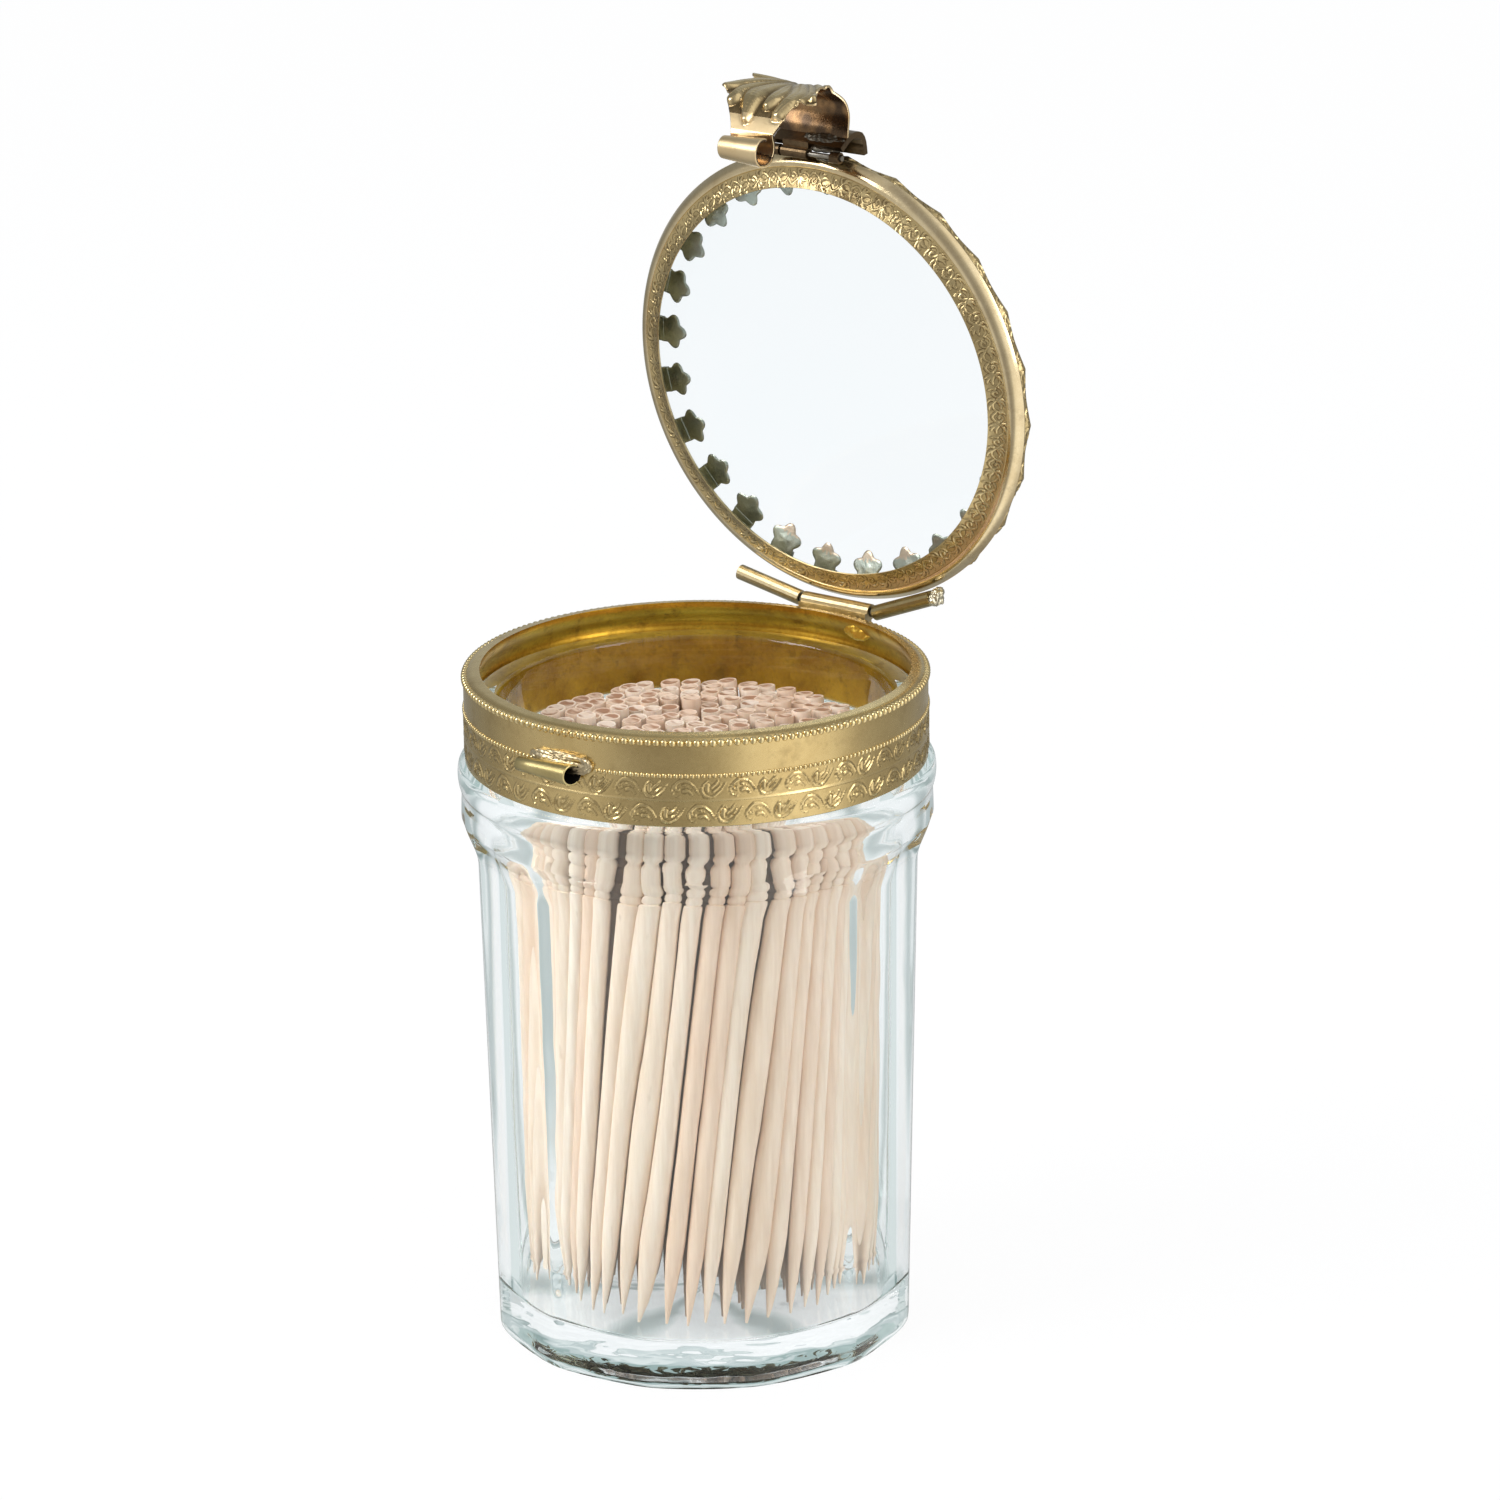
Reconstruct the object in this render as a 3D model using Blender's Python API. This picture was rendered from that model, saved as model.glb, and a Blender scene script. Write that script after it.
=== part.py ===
# Toothpick dispenser: a pressed glass jar in a brass collar, with a glazed brass lid on a three
# knuckle hinge at the back, a leaf hasp on a pin at the front, and a full bundle of toothpicks.
# Metres, +Z up. The origin is the centre of the foot. The hinge is at +Y and the catch at -Y.
# The lid stands open. Its pieces are drawn about their own pivots, so a pivot's turn poses them.

import math

import bmesh
import bpy
from mathutils import Matrix, Vector

FULL_TURN = 2 * math.pi
MERGE_DISTANCE = 1e-7  # joins the two ends of a spun skin
SMOOTH_ANGLE = math.radians(35)

# Fits
SEAT_GAP = 0.0003  # between two pieces that are soldered or cemented together
CUT_OVERRUN = 0.002  # how far a cutter stands past what it cuts, each way

# Glass jar
JAR_HEIGHT = 0.0745
BORE_RADIUS = 0.0222
NECK_WALL = 0.00283
NECK_HEIGHT = 0.0069
BODY_WALL = 0.0032  # at the top of the panels
BODY_TAPER = 0.00115  # of the radius, from there down to the foot
FOOT_INSET = 0.00089
FOOT_BEVEL = 0.0009
BAND_PROUD = 0.0012
BAND_HEIGHT = 0.0032
SWELL_HEIGHT = 0.005  # from the body out to the band
BEAD_PROUD = 0.0003
BEAD_HEIGHT = 0.0032
FLOOR_THICKNESS = 0.006
FLOOR_FILLET = 0.0012
RIM_ROUND = 0.0006
PANEL_COUNT = 12
PANEL_DEPTH = 0.0006  # from the body's circle in to the flat
PANEL_TURN = math.radians(6.65)  # of a panel's middle, from the front
JAR_STEPS = 48
SWELL_STEPS = 5
BEAD_STEPS = 4
FILLET_STEPS = 2

# Brass collar
COLLAR_WALL = 0.0007
COLLAR_RISE = 0.0034  # above the jar's rim
LIP_WIDTH = 0.0021
LIP_THICKNESS = 0.0009
LIP_STEPS = 5
BEAD_ROW_DROP = 0.0006  # of the upper bead row, below the lip's top
BEAD_ROW_PROUD = 0.00012
FINE_ROW_DROP = 0.0044
ROW_HALF_HEIGHT = 0.0003
COLLAR_STEPS = 60

# Catch, a tube soldered on the collar's front
CATCH_LENGTH = 0.0074
CATCH_RADIUS = 0.0011
CATCH_BORE = 0.0007
CATCH_OFFSET = 0.0001  # along X, from the middle
CATCH_DROP = 0.0047  # below the collar's top
CATCH_SADDLE_HEIGHT = 0.0034
CATCH_SADDLE_LENGTH = 0.0066
TUBE_STEPS = 16

# Hinge
KNUCKLE_RADIUS = 0.0009
KNUCKLE_WALL = 0.0003
KNUCKLE_HALF_LENGTH = 0.0047
KNUCKLE_STANDOFF = 0.00045  # between the collar and the middle knuckle
HINGE_RISE = 0.0001  # of the axis above the collar's top
HINGE_WEDGE_HEIGHT = 0.003
LID_KNUCKLE_LENGTH = 0.0087
LID_KNUCKLE_GAP = 0.00065  # along the pin, between knuckles
LEFT_KNUCKLE_BEND = math.radians(11.5)  # hangs a little away from the ring
RIGHT_KNUCKLE_BEND = math.radians(22)
PIN_CLEARANCE = 0.00015
PIN_TAIL = 0.0011  # stands out of the right knuckle
PIN_INSET = 0.0005  # of its other end, inside the left knuckle
PIN_HEAD_PROUD = 0.00025

# Lid, drawn face down as it lies on the closed jar, with the face at height zero
LID_OPEN = math.radians(84.45)
LID_SEAT = 0.00025  # between the collar's top and the closed lid's face
RING_OVERHANG = 0.00042  # past the collar
RING_FACE_WIDTH = 0.00286
RING_PLATE = 0.0006
RING_HEIGHT = 0.0015
RING_WALL = 0.0008
RING_ROUND = 0.0009  # height of the round at the face's outer edge
RING_ROUND_WIDTH = 0.00062
RING_ROUND_STEPS = 3
RING_BEVEL = 0.0002
RING_STEPS = 60
GLASS_THICKNESS = 0.0014
GLASS_SIDE_GAP = 0.0003
GLASS_BEVEL = 0.0004
GALLERY_SHEET = 0.00045
GALLERY_INSET = 0.00025  # of its flats, from the ring's outside
GALLERY_CORNER_PROUD = 0.00052  # of its corners, past the flats
CLAW_COUNT = 25
CLAW_TURN = math.radians(0.8)
CLAW_NECK = 0.0024
CLAW_BEND = 0.0006
STAR_RADIUS = 0.00205
STAR_WAIST_SHARE = 0.7
STAR_LOBES = 5
STAR_POINTS_PER_LOBE = 3

# Leaf hasp, drawn about its pin: out from the lid, and up, the same way as the lid's height
HASP_PIN_RADIUS = 0.0003
HASP_PIN_HALF = 0.00495
HASP_PIN_STANDOFF = 0.0006  # of the pin's centre line, outside the ring
HASP_PIN_DROP = 0.0004  # of the pin's centre line, below the lid's face
HASP_PIN_CLEARANCE = 0.00012
HASP_TUBE_WALL = 0.00023
LUG_LENGTH = 0.0012
LUG_INSET = 0.00025  # from the pin's end
FOOT_TUBE_LEFT = -0.0032
FOOT_TUBE_RIGHT = 0.0003
HASP_REACH = 0.0083
ROLL_BELOW_CATCH = 0.00675  # from the catch's centre line to the roll's
HASP_HALF_WIDTH = 0.0066
HASP_SHEET = 0.0005
HASP_CAMBER = 0.0001
CAMBER_OUT_SHARE = 0.33  # the point that the leaf's edges bend towards, out and down
CAMBER_DROP_SHARE = 0.33
SCALLOP_DEPTH = 0.0008
SCALLOPS = 5
HASP_FOOT_HALF_WIDTH = 0.0047
HASP_FOOT_SHEET = 0.0007
TAIL_RISE = 0.0048
FOOT_REACH = 0.00185
ROLL_RADIUS = 0.00145
ROLL_TAPER_SHARE = 0.12
ROLL_OUT_SHARE = 0.464
ROLL_START = math.radians(35)  # from the top of the roll, outwards
ROLL_TURN = math.radians(285)
ROLL_STEPS = 11
# Middle line of the leaf as shares of its reach and drop, from the foot, over the crest, to the roll
HASP_LINE_SHARES = (
    (0.313, 0.177),
    (0.518, 0.243),
    (0.711, 0.230),
    (0.873, 0.133),
    (0.958, 0.000),
    (0.988, -0.150),
    (1.000, -0.345),
    (0.982, -0.517),
    (0.867, -0.681),
    (0.693, -0.823),
)
# Half width of the leaf at each of those points and at the roll, as shares of the widest
HASP_WIDTH_SHARES = (0.70, 0.70, 0.71, 0.76, 0.86, 0.96, 1.00, 0.86, 0.56, 0.44, 0.42)
LEAF_ROW_SHARES = (-1, -0.5, 0, 0.5, 1)
# Middle line of the foot as shares of its reach and its tail's rise
FOOT_LINE_SHARES = ((0.46, 0.07), (0.68, 0.22), (0.93, 0.42), (1.00, 0.64), (0.80, 0.87), (0.26, 0.98), (-0.50, 1.00))
FOOT_ROW_SHARES = (-1, 0, 1)
LINE_STEPS = 3  # between two points of the leaf's middle line
FOOT_LINE_STEPS = 2

# Toothpicks, in rings that share a body because each touches its neighbours
PICK_LENGTH = 0.065
PICK_RINGS = 7  # round one in the middle
BUNDLE_GAP = 0.0029  # between the bore and the outermost ring
PICK_RING_GAP = 0.00024
PICK_SPACING_SHARE = 0.987  # of a pick's width, from one to the next round a ring
PICK_TAPER = 0.006
PICK_TIP_SHARE = 0.35
PICK_VALLEY_SHARE = 0.4
PICK_LOBE_ANGLE = math.radians(40)  # of a pick's outer corners, each way
PICK_TWIST = math.radians(13.6)
PICK_CROWN = 0.0012  # how much higher the middle of the bundle stands

# Worked out from the sizes above: the jar
NECK_RADIUS = BORE_RADIUS + NECK_WALL
BODY_RADIUS_HIGH = BORE_RADIUS + BODY_WALL
BODY_RADIUS_LOW = BODY_RADIUS_HIGH - BODY_TAPER
FOOT_RADIUS = BODY_RADIUS_LOW - FOOT_INSET
BAND_RADIUS = BODY_RADIUS_HIGH + BAND_PROUD
SHOULDER_HEIGHT = JAR_HEIGHT - NECK_HEIGHT
BAND_HIGH = SHOULDER_HEIGHT - BEAD_HEIGHT
BAND_LOW = BAND_HIGH - BAND_HEIGHT
PANEL_TOP = BAND_LOW - SWELL_HEIGHT
PICK_FLOOR = FLOOR_THICKNESS + SEAT_GAP
PICK_RADIUS = (BORE_RADIUS - BUNDLE_GAP - PICK_RINGS * PICK_RING_GAP) / (2 * PICK_RINGS + 1)

# The collar and the hinge
COLLAR_INSIDE = NECK_RADIUS + SEAT_GAP
COLLAR_RADIUS = COLLAR_INSIDE + COLLAR_WALL
COLLAR_BOTTOM = SHOULDER_HEIGHT + SEAT_GAP
COLLAR_TOP = JAR_HEIGHT + COLLAR_RISE
LIP_RADIUS = COLLAR_RADIUS - LIP_WIDTH
KNUCKLE_BORE = KNUCKLE_RADIUS - KNUCKLE_WALL
PIN_RADIUS = KNUCKLE_BORE - PIN_CLEARANCE
HINGE_Y = COLLAR_RADIUS + KNUCKLE_STANDOFF + KNUCKLE_RADIUS
HINGE_Z = COLLAR_TOP + HINGE_RISE
LID_FACE = COLLAR_TOP + LID_SEAT - HINGE_Z  # height of the closed lid's face above the hinge axis

# The lid and the hasp
RING_OUTER = COLLAR_RADIUS + RING_OVERHANG
RING_FACE_OUTER = RING_OUTER - RING_ROUND_WIDTH
RING_INNER = RING_FACE_OUTER - RING_FACE_WIDTH
GLASS_LOW = RING_PLATE + SEAT_GAP
GLASS_RADIUS = RING_OUTER - RING_WALL - GLASS_SIDE_GAP
GALLERY_LOW = RING_HEIGHT + SEAT_GAP
GALLERY_FLAT = RING_OUTER - GALLERY_INSET
GALLERY_CORNER = GALLERY_FLAT + GALLERY_CORNER_PROUD
CLAW_LOW = GLASS_LOW + GLASS_THICKNESS + SEAT_GAP  # underside of the bent claws
HASP_PIN_Y = RING_OUTER + HASP_PIN_STANDOFF
HASP_TUBE_BORE = HASP_PIN_RADIUS + HASP_PIN_CLEARANCE
HASP_TUBE_RADIUS = HASP_TUBE_BORE + HASP_TUBE_WALL
LUG_END = HASP_PIN_HALF - LUG_INSET
HASP_DROP = LID_SEAT - HASP_PIN_DROP + CATCH_DROP + ROLL_BELOW_CATCH


def clear_scene():
    for old in list(bpy.data.objects):
        bpy.data.objects.remove(old, do_unlink=True)


def surface(name, colour, metallic, roughness, transmission=0.0):
    made = bpy.data.materials.new(name)
    made.use_nodes = True
    shader = made.node_tree.nodes["Principled BSDF"]
    shader.inputs["Base Color"].default_value = (*colour, 1)
    shader.inputs["Metallic"].default_value = metallic
    shader.inputs["Roughness"].default_value = roughness
    shader.inputs["Transmission Weight"].default_value = transmission
    made.diffuse_color = (*colour, 1)
    return made


def add_object(name, shape, finish, parent=None):
    """Turns a bmesh into a named object with its normals out and its round faces smooth."""
    bmesh.ops.recalc_face_normals(shape, faces=shape.faces)
    mesh = bpy.data.meshes.new(name)
    shape.to_mesh(mesh)
    shape.free()
    mesh.shade_smooth()
    mesh.set_sharp_from_angle(angle=SMOOTH_ANGLE)
    made = bpy.data.objects.new(name, mesh)
    mesh.materials.append(finish)
    made.parent = parent
    bpy.context.scene.collection.objects.link(made)
    return made


def add_pivot(name, place, parent=None, turn=0.0):
    pivot = bpy.data.objects.new(name, None)
    pivot.location = place
    pivot.rotation_euler = (turn, 0, 0)
    pivot.parent = parent
    bpy.context.scene.collection.objects.link(pivot)
    return pivot


def spun(outline, steps, closed=True, start=0.0):
    """Spins points of (radius, height) a full turn about Z. An open outline ends on the axis."""
    shape = bmesh.new()
    corners = []
    for radius, height in outline:
        corners.append(shape.verts.new((radius * math.cos(start), radius * math.sin(start), height)))
    ends = corners[1:] + corners[:1] if closed else corners[1:]
    edges = [shape.edges.new(pair) for pair in zip(corners, ends)]
    bmesh.ops.spin(
        shape, geom=corners + edges, cent=(0, 0, 0), axis=(0, 0, 1), angle=FULL_TURN, steps=steps, use_merge=True
    )
    bmesh.ops.remove_doubles(shape, verts=shape.verts, dist=MERGE_DISTANCE)
    return shape


def tube_outline(outer, bore, low, high):
    return ((outer, high), (outer, low), (bore, low), (bore, high))


def along_x(shape):
    """Turns a shape that was spun about Z so that its axis lies along X."""
    bmesh.ops.transform(shape, matrix=Matrix.Rotation(math.pi / 2, 4, "Y"), verts=shape.verts)
    return shape


def smooth_line(points, steps):
    """A Catmull-Rom line through the points, with so many steps between two of them."""
    line = []
    for place in range(len(points) - 1):
        before = points[max(place - 1, 0)]
        start, end = points[place], points[place + 1]
        after = points[min(place + 2, len(points) - 1)]
        for step in range(steps):
            share = step / steps
            even = 2 * start + (end - before) * share
            bowed = (2 * before - 5 * start + 4 * end - after) * share**2
            last = (3 * start - before - 3 * end + after) * share**3
            line.append((even + bowed + last) / 2)
    line.append(points[-1])
    return line


def sheet(rows, thickness):
    """A solid of even thickness on a grid of points, half of it on each side."""
    shape = bmesh.new()
    grid = [[shape.verts.new(point) for point in row] for row in rows]
    for near, far in zip(grid, grid[1:]):
        for place in range(len(near) - 1):
            shape.faces.new((near[place], near[place + 1], far[place + 1], far[place]))
    bmesh.ops.recalc_face_normals(shape, faces=shape.faces)
    shift_along_normals(shape, -thickness / 2)
    bmesh.ops.solidify(shape, geom=shape.faces[:], thickness=-thickness)
    return shape


def shift_along_normals(shape, distance):
    shape.normal_update()
    moved = [(vert, vert.normal * distance) for vert in shape.verts]
    for vert, step in moved:
        vert.co += step


def combine(target, other, operation):
    """Joins or cuts the target with another object, then leaves that one out of the model."""
    change = target.modifiers.new(other.name, "BOOLEAN")
    change.operation = operation
    change.object = other
    other.hide_render = True
    other.display_type = "WIRE"


def panel_distance(height):
    """How far the flat of a panel lies from the axis, or None above the panels."""
    if height > BAND_LOW - MERGE_DISTANCE:
        return None
    flat = body_radius(height) - PANEL_DEPTH
    if height <= PANEL_TOP:
        return flat
    run_out = (height - PANEL_TOP) / SWELL_HEIGHT
    return flat + (BAND_PROUD + PANEL_DEPTH) * run_out**2


def body_radius(height):
    """The straight taper of the body, before it swells to the band."""
    share = (height - FOOT_BEVEL) / (PANEL_TOP - FOOT_BEVEL)
    return BODY_RADIUS_LOW + BODY_TAPER * min(share, 1)


def jar_outline():
    outline = [(0, 0), (FOOT_RADIUS, 0), (BODY_RADIUS_LOW, FOOT_BEVEL)]
    for step in range(SWELL_STEPS + 1):
        share = step / SWELL_STEPS
        swell = (1 - math.cos(math.pi * share)) / 2
        outline.append((BODY_RADIUS_HIGH + BAND_PROUD * swell, PANEL_TOP + SWELL_HEIGHT * share))
    outline.append((BAND_RADIUS, BAND_HIGH))
    for step in range(1, BEAD_STEPS):
        share = step / BEAD_STEPS
        radius = BAND_RADIUS + BEAD_PROUD * math.sin(math.pi * share)
        outline.append((radius, BAND_HIGH + BEAD_HEIGHT * share))
    outline += [
        (BAND_RADIUS, SHOULDER_HEIGHT),
        (NECK_RADIUS, SHOULDER_HEIGHT),
        (NECK_RADIUS, JAR_HEIGHT - RIM_ROUND),
        (NECK_RADIUS - RIM_ROUND, JAR_HEIGHT),
        (BORE_RADIUS + RIM_ROUND, JAR_HEIGHT),
        (BORE_RADIUS, JAR_HEIGHT - RIM_ROUND),
    ]
    for step in range(FILLET_STEPS + 1):
        angle = math.pi / 2 * step / FILLET_STEPS
        radius = BORE_RADIUS - FLOOR_FILLET * (1 - math.cos(angle))
        outline.append((radius, FLOOR_THICKNESS + FLOOR_FILLET * (1 - math.sin(angle))))
    outline.append((0, FLOOR_THICKNESS))
    return outline


def make_jar(finish):
    front = -math.pi / 2
    shape = spun(jar_outline(), JAR_STEPS, closed=False, start=front + PANEL_TURN)
    sector = FULL_TURN / PANEL_COUNT
    for vert in shape.verts:
        radius = math.hypot(vert.co.x, vert.co.y)
        flat = panel_distance(vert.co.z)
        if flat is None or radius < BORE_RADIUS + MERGE_DISTANCE:
            continue
        turn = (math.atan2(vert.co.y, vert.co.x) - front - PANEL_TURN + sector / 2) % sector - sector / 2
        wanted = min(radius, flat / math.cos(turn))
        vert.co.x *= wanted / radius
        vert.co.y *= wanted / radius
    return add_object("glass_jar", shape, finish)


def collar_outline():
    fine_row = COLLAR_TOP - FINE_ROW_DROP
    outline = [(COLLAR_INSIDE, COLLAR_BOTTOM), (COLLAR_RADIUS, COLLAR_BOTTOM)]
    outline.append((COLLAR_RADIUS, fine_row - ROW_HALF_HEIGHT))
    outline.append((COLLAR_RADIUS + BEAD_ROW_PROUD, fine_row))
    outline.append((COLLAR_RADIUS, fine_row + ROW_HALF_HEIGHT))
    row = COLLAR_TOP - BEAD_ROW_DROP
    outline.append((COLLAR_RADIUS, row - ROW_HALF_HEIGHT))
    outline.append((COLLAR_RADIUS + BEAD_ROW_PROUD, row))
    # The lip rolls over the top and down into the mouth
    lip_half = LIP_WIDTH / 2
    lip_middle = COLLAR_RADIUS - lip_half
    for step in range(1, LIP_STEPS + 1):
        angle = math.pi * step / LIP_STEPS
        height = COLLAR_TOP - BEAD_ROW_DROP * (1 - math.sin(angle))
        outline.append((lip_middle + lip_half * math.cos(angle), height))
    outline.append((LIP_RADIUS, COLLAR_TOP - LIP_THICKNESS))
    outline.append((LIP_RADIUS + LIP_THICKNESS / 2, COLLAR_TOP - LIP_THICKNESS - COLLAR_WALL / 2))
    outline.append((COLLAR_INSIDE, COLLAR_TOP - LIP_THICKNESS - COLLAR_WALL / 2))
    return outline


def make_collar(finish):
    return add_object("collar_band", spun(collar_outline(), COLLAR_STEPS), finish)


def make_catch(finish, hidden):
    """The tube that the hasp snaps over, and the saddle that it is soldered to."""
    place = (CATCH_OFFSET, -(COLLAR_RADIUS + SEAT_GAP + CATCH_RADIUS), COLLAR_TOP - CATCH_DROP)
    half = CATCH_LENGTH / 2
    tube = add_object(
        "catch_tube", along_x(spun(tube_outline(CATCH_RADIUS, CATCH_BORE, -half, half), TUBE_STEPS)), finish
    )
    tube.location = place
    # The saddle fills the corner between the tube and the collar, above and below the tube
    saddle = add_object("catch_saddle", boxed(CATCH_SADDLE_LENGTH, CATCH_RADIUS, CATCH_SADDLE_HEIGHT), finish)
    saddle.location = (place[0], place[1] + CATCH_RADIUS / 2, place[2] + CATCH_RADIUS)
    around_tube = add_object("catch_tube_room", along_x(rod(CATCH_RADIUS + SEAT_GAP, half + CUT_OVERRUN)), hidden)
    around_tube.location = place
    combine(saddle, around_tube, "DIFFERENCE")
    around_collar = add_object("catch_collar_room", collar_room(), hidden)
    combine(saddle, around_collar, "DIFFERENCE")
    return tube, saddle


def boxed(length, depth, height):
    shape = bmesh.new()
    bmesh.ops.create_cube(shape, size=1)
    bmesh.ops.scale(shape, vec=(length, depth, height), verts=shape.verts)
    return shape


def rod(radius, half):
    """A solid rod along Z, so far each way."""
    return spun(((0, half), (radius, half), (radius, -half), (0, -half)), TUBE_STEPS, closed=False)


def collar_room():
    """The collar's outside with the solder gap round it, to cut what is soldered to the collar."""
    radius = COLLAR_RADIUS + SEAT_GAP
    top = COLLAR_TOP + CUT_OVERRUN
    return spun(((0, top), (radius, top), (radius, COLLAR_BOTTOM), (0, COLLAR_BOTTOM)), COLLAR_STEPS, closed=False)


def make_collar_knuckle(finish, hidden):
    half = KNUCKLE_HALF_LENGTH
    wedge_depth = KNUCKLE_STANDOFF + KNUCKLE_RADIUS
    knuckle = add_object("hinge_knuckle_collar", along_x(rod(KNUCKLE_RADIUS, half)), finish)
    knuckle.location = (0, HINGE_Y, HINGE_Z)
    wedge = add_object("hinge_wedge", boxed(2 * half, wedge_depth, HINGE_WEDGE_HEIGHT), hidden)
    wedge.location = (0, HINGE_Y - wedge_depth / 2, HINGE_Z - HINGE_WEDGE_HEIGHT / 2)
    combine(knuckle, wedge, "UNION")
    around_collar = add_object("hinge_collar_room", collar_room(), hidden)
    combine(knuckle, around_collar, "DIFFERENCE")
    bore = add_object("hinge_bore", along_x(rod(KNUCKLE_BORE, half + CUT_OVERRUN)), hidden)
    bore.location = knuckle.location
    combine(knuckle, bore, "DIFFERENCE")
    return knuckle


def lid_knuckle_line(side):
    """Where the centre line of a lid knuckle starts, and its direction, seen from the hinge axis."""
    bend = LEFT_KNUCKLE_BEND if side < 0 else RIGHT_KNUCKLE_BEND
    start = Vector((side * (KNUCKLE_HALF_LENGTH + LID_KNUCKLE_GAP), 0, 0))
    away = Vector((side * math.cos(bend), -math.sin(bend), 0))
    return start, away


def make_lid_knuckle(name, side, lid_pivot, finish):
    start, away = lid_knuckle_line(side)
    shape = spun(tube_outline(KNUCKLE_RADIUS, KNUCKLE_BORE, 0, LID_KNUCKLE_LENGTH), TUBE_STEPS)
    turn = Vector((0, 0, 1)).rotation_difference(away).to_matrix().to_4x4()
    bmesh.ops.transform(shape, matrix=Matrix.Translation(start) @ turn, verts=shape.verts)
    return add_object(name, shape, finish, lid_pivot)


def make_hinge_pin(lid_pivot, finish):
    """A wire through all three knuckles, bent where they meet, with a burred head at its right end."""
    left_start, left_away = lid_knuckle_line(-1)
    right_start, right_away = lid_knuckle_line(1)
    line = [
        (left_start + left_away * (LID_KNUCKLE_LENGTH - PIN_INSET), PIN_RADIUS),
        (left_start, PIN_RADIUS),
        (right_start, PIN_RADIUS),
        (right_start + right_away * (LID_KNUCKLE_LENGTH + PIN_TAIL / 2), PIN_RADIUS),
        (right_start + right_away * (LID_KNUCKLE_LENGTH + PIN_TAIL), PIN_RADIUS + PIN_HEAD_PROUD),
    ]
    shape = bmesh.new()
    rings = []
    around = TUBE_STEPS // 2
    for place, (centre, radius) in enumerate(line):
        before = line[max(place - 1, 0)][0]
        after = line[min(place + 1, len(line) - 1)][0]
        facing = (after - before).normalized()
        across = Vector((0, 0, 1))
        level = facing.cross(across)
        ring = []
        for step in range(around):
            angle = FULL_TURN * step / around
            ring.append(shape.verts.new(centre + (across * math.sin(angle) + level * math.cos(angle)) * radius))
        rings.append(ring)
    skin_rings(shape, rings)
    return add_object("hinge_pin", shape, finish, lid_pivot)


def skin_rings(shape, rings):
    """Faces between rings of the same count, and a cap on each end."""
    count = len(rings[0])
    for near, far in zip(rings, rings[1:]):
        for place in range(count):
            after = (place + 1) % count
            shape.faces.new((near[place], near[after], far[after], far[place]))
    shape.faces.new(rings[0][::-1])
    shape.faces.new(rings[-1])


def on_lid(shape):
    """Moves a shape drawn about the lid's own axis to its place from the hinge."""
    bmesh.ops.translate(shape, vec=(0, -HINGE_Y, LID_FACE), verts=shape.verts)
    return shape


def ring_outline():
    """Section of the lid's ring: a flat engraved face, a round outer edge and a ledge for the glass."""
    outline = [(RING_INNER, RING_PLATE), (RING_INNER, 0), (RING_FACE_OUTER, 0)]
    for step in range(1, RING_ROUND_STEPS + 1):
        angle = math.pi / 2 * step / RING_ROUND_STEPS
        radius = RING_FACE_OUTER + RING_ROUND_WIDTH * math.sin(angle)
        outline.append((radius, RING_ROUND * (1 - math.cos(angle))))
    wall_inside = RING_OUTER - RING_WALL
    outline += [(RING_OUTER, RING_HEIGHT - RING_BEVEL), (RING_OUTER - RING_BEVEL, RING_HEIGHT)]
    outline += [(wall_inside, RING_HEIGHT), (wall_inside, RING_PLATE)]
    return outline


def make_lid_ring(lid_pivot, finish):
    return add_object("lid_ring", on_lid(spun(ring_outline(), RING_STEPS)), finish, lid_pivot)


def make_lid_glass(lid_pivot, finish):
    high = GLASS_LOW + GLASS_THICKNESS
    outline = (
        (0, GLASS_LOW),
        (GLASS_RADIUS, GLASS_LOW),
        (GLASS_RADIUS, high - GLASS_BEVEL),
        (GLASS_RADIUS - GLASS_BEVEL, high),
        (0, high),
    )
    return add_object("lid_glass", on_lid(spun(outline, RING_STEPS, closed=False)), finish, lid_pivot)


def star_points(centre_radius):
    """Points of a five lobed claw, open towards the neck, in order from one side of the neck."""
    points = []
    total = STAR_LOBES * STAR_POINTS_PER_LOBE
    # The neck takes the place of the valley that faces away from the lid's axis, and of a point each side of it
    for place in range(2, total - 1):
        angle = FULL_TURN * place / total
        swell = (1 - math.cos(STAR_LOBES * angle)) / 2
        reach = STAR_RADIUS * (STAR_WAIST_SHARE + (1 - STAR_WAIST_SHARE) * swell)
        points.append((centre_radius + reach * math.cos(angle), reach * math.sin(angle)))
    return points


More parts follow.
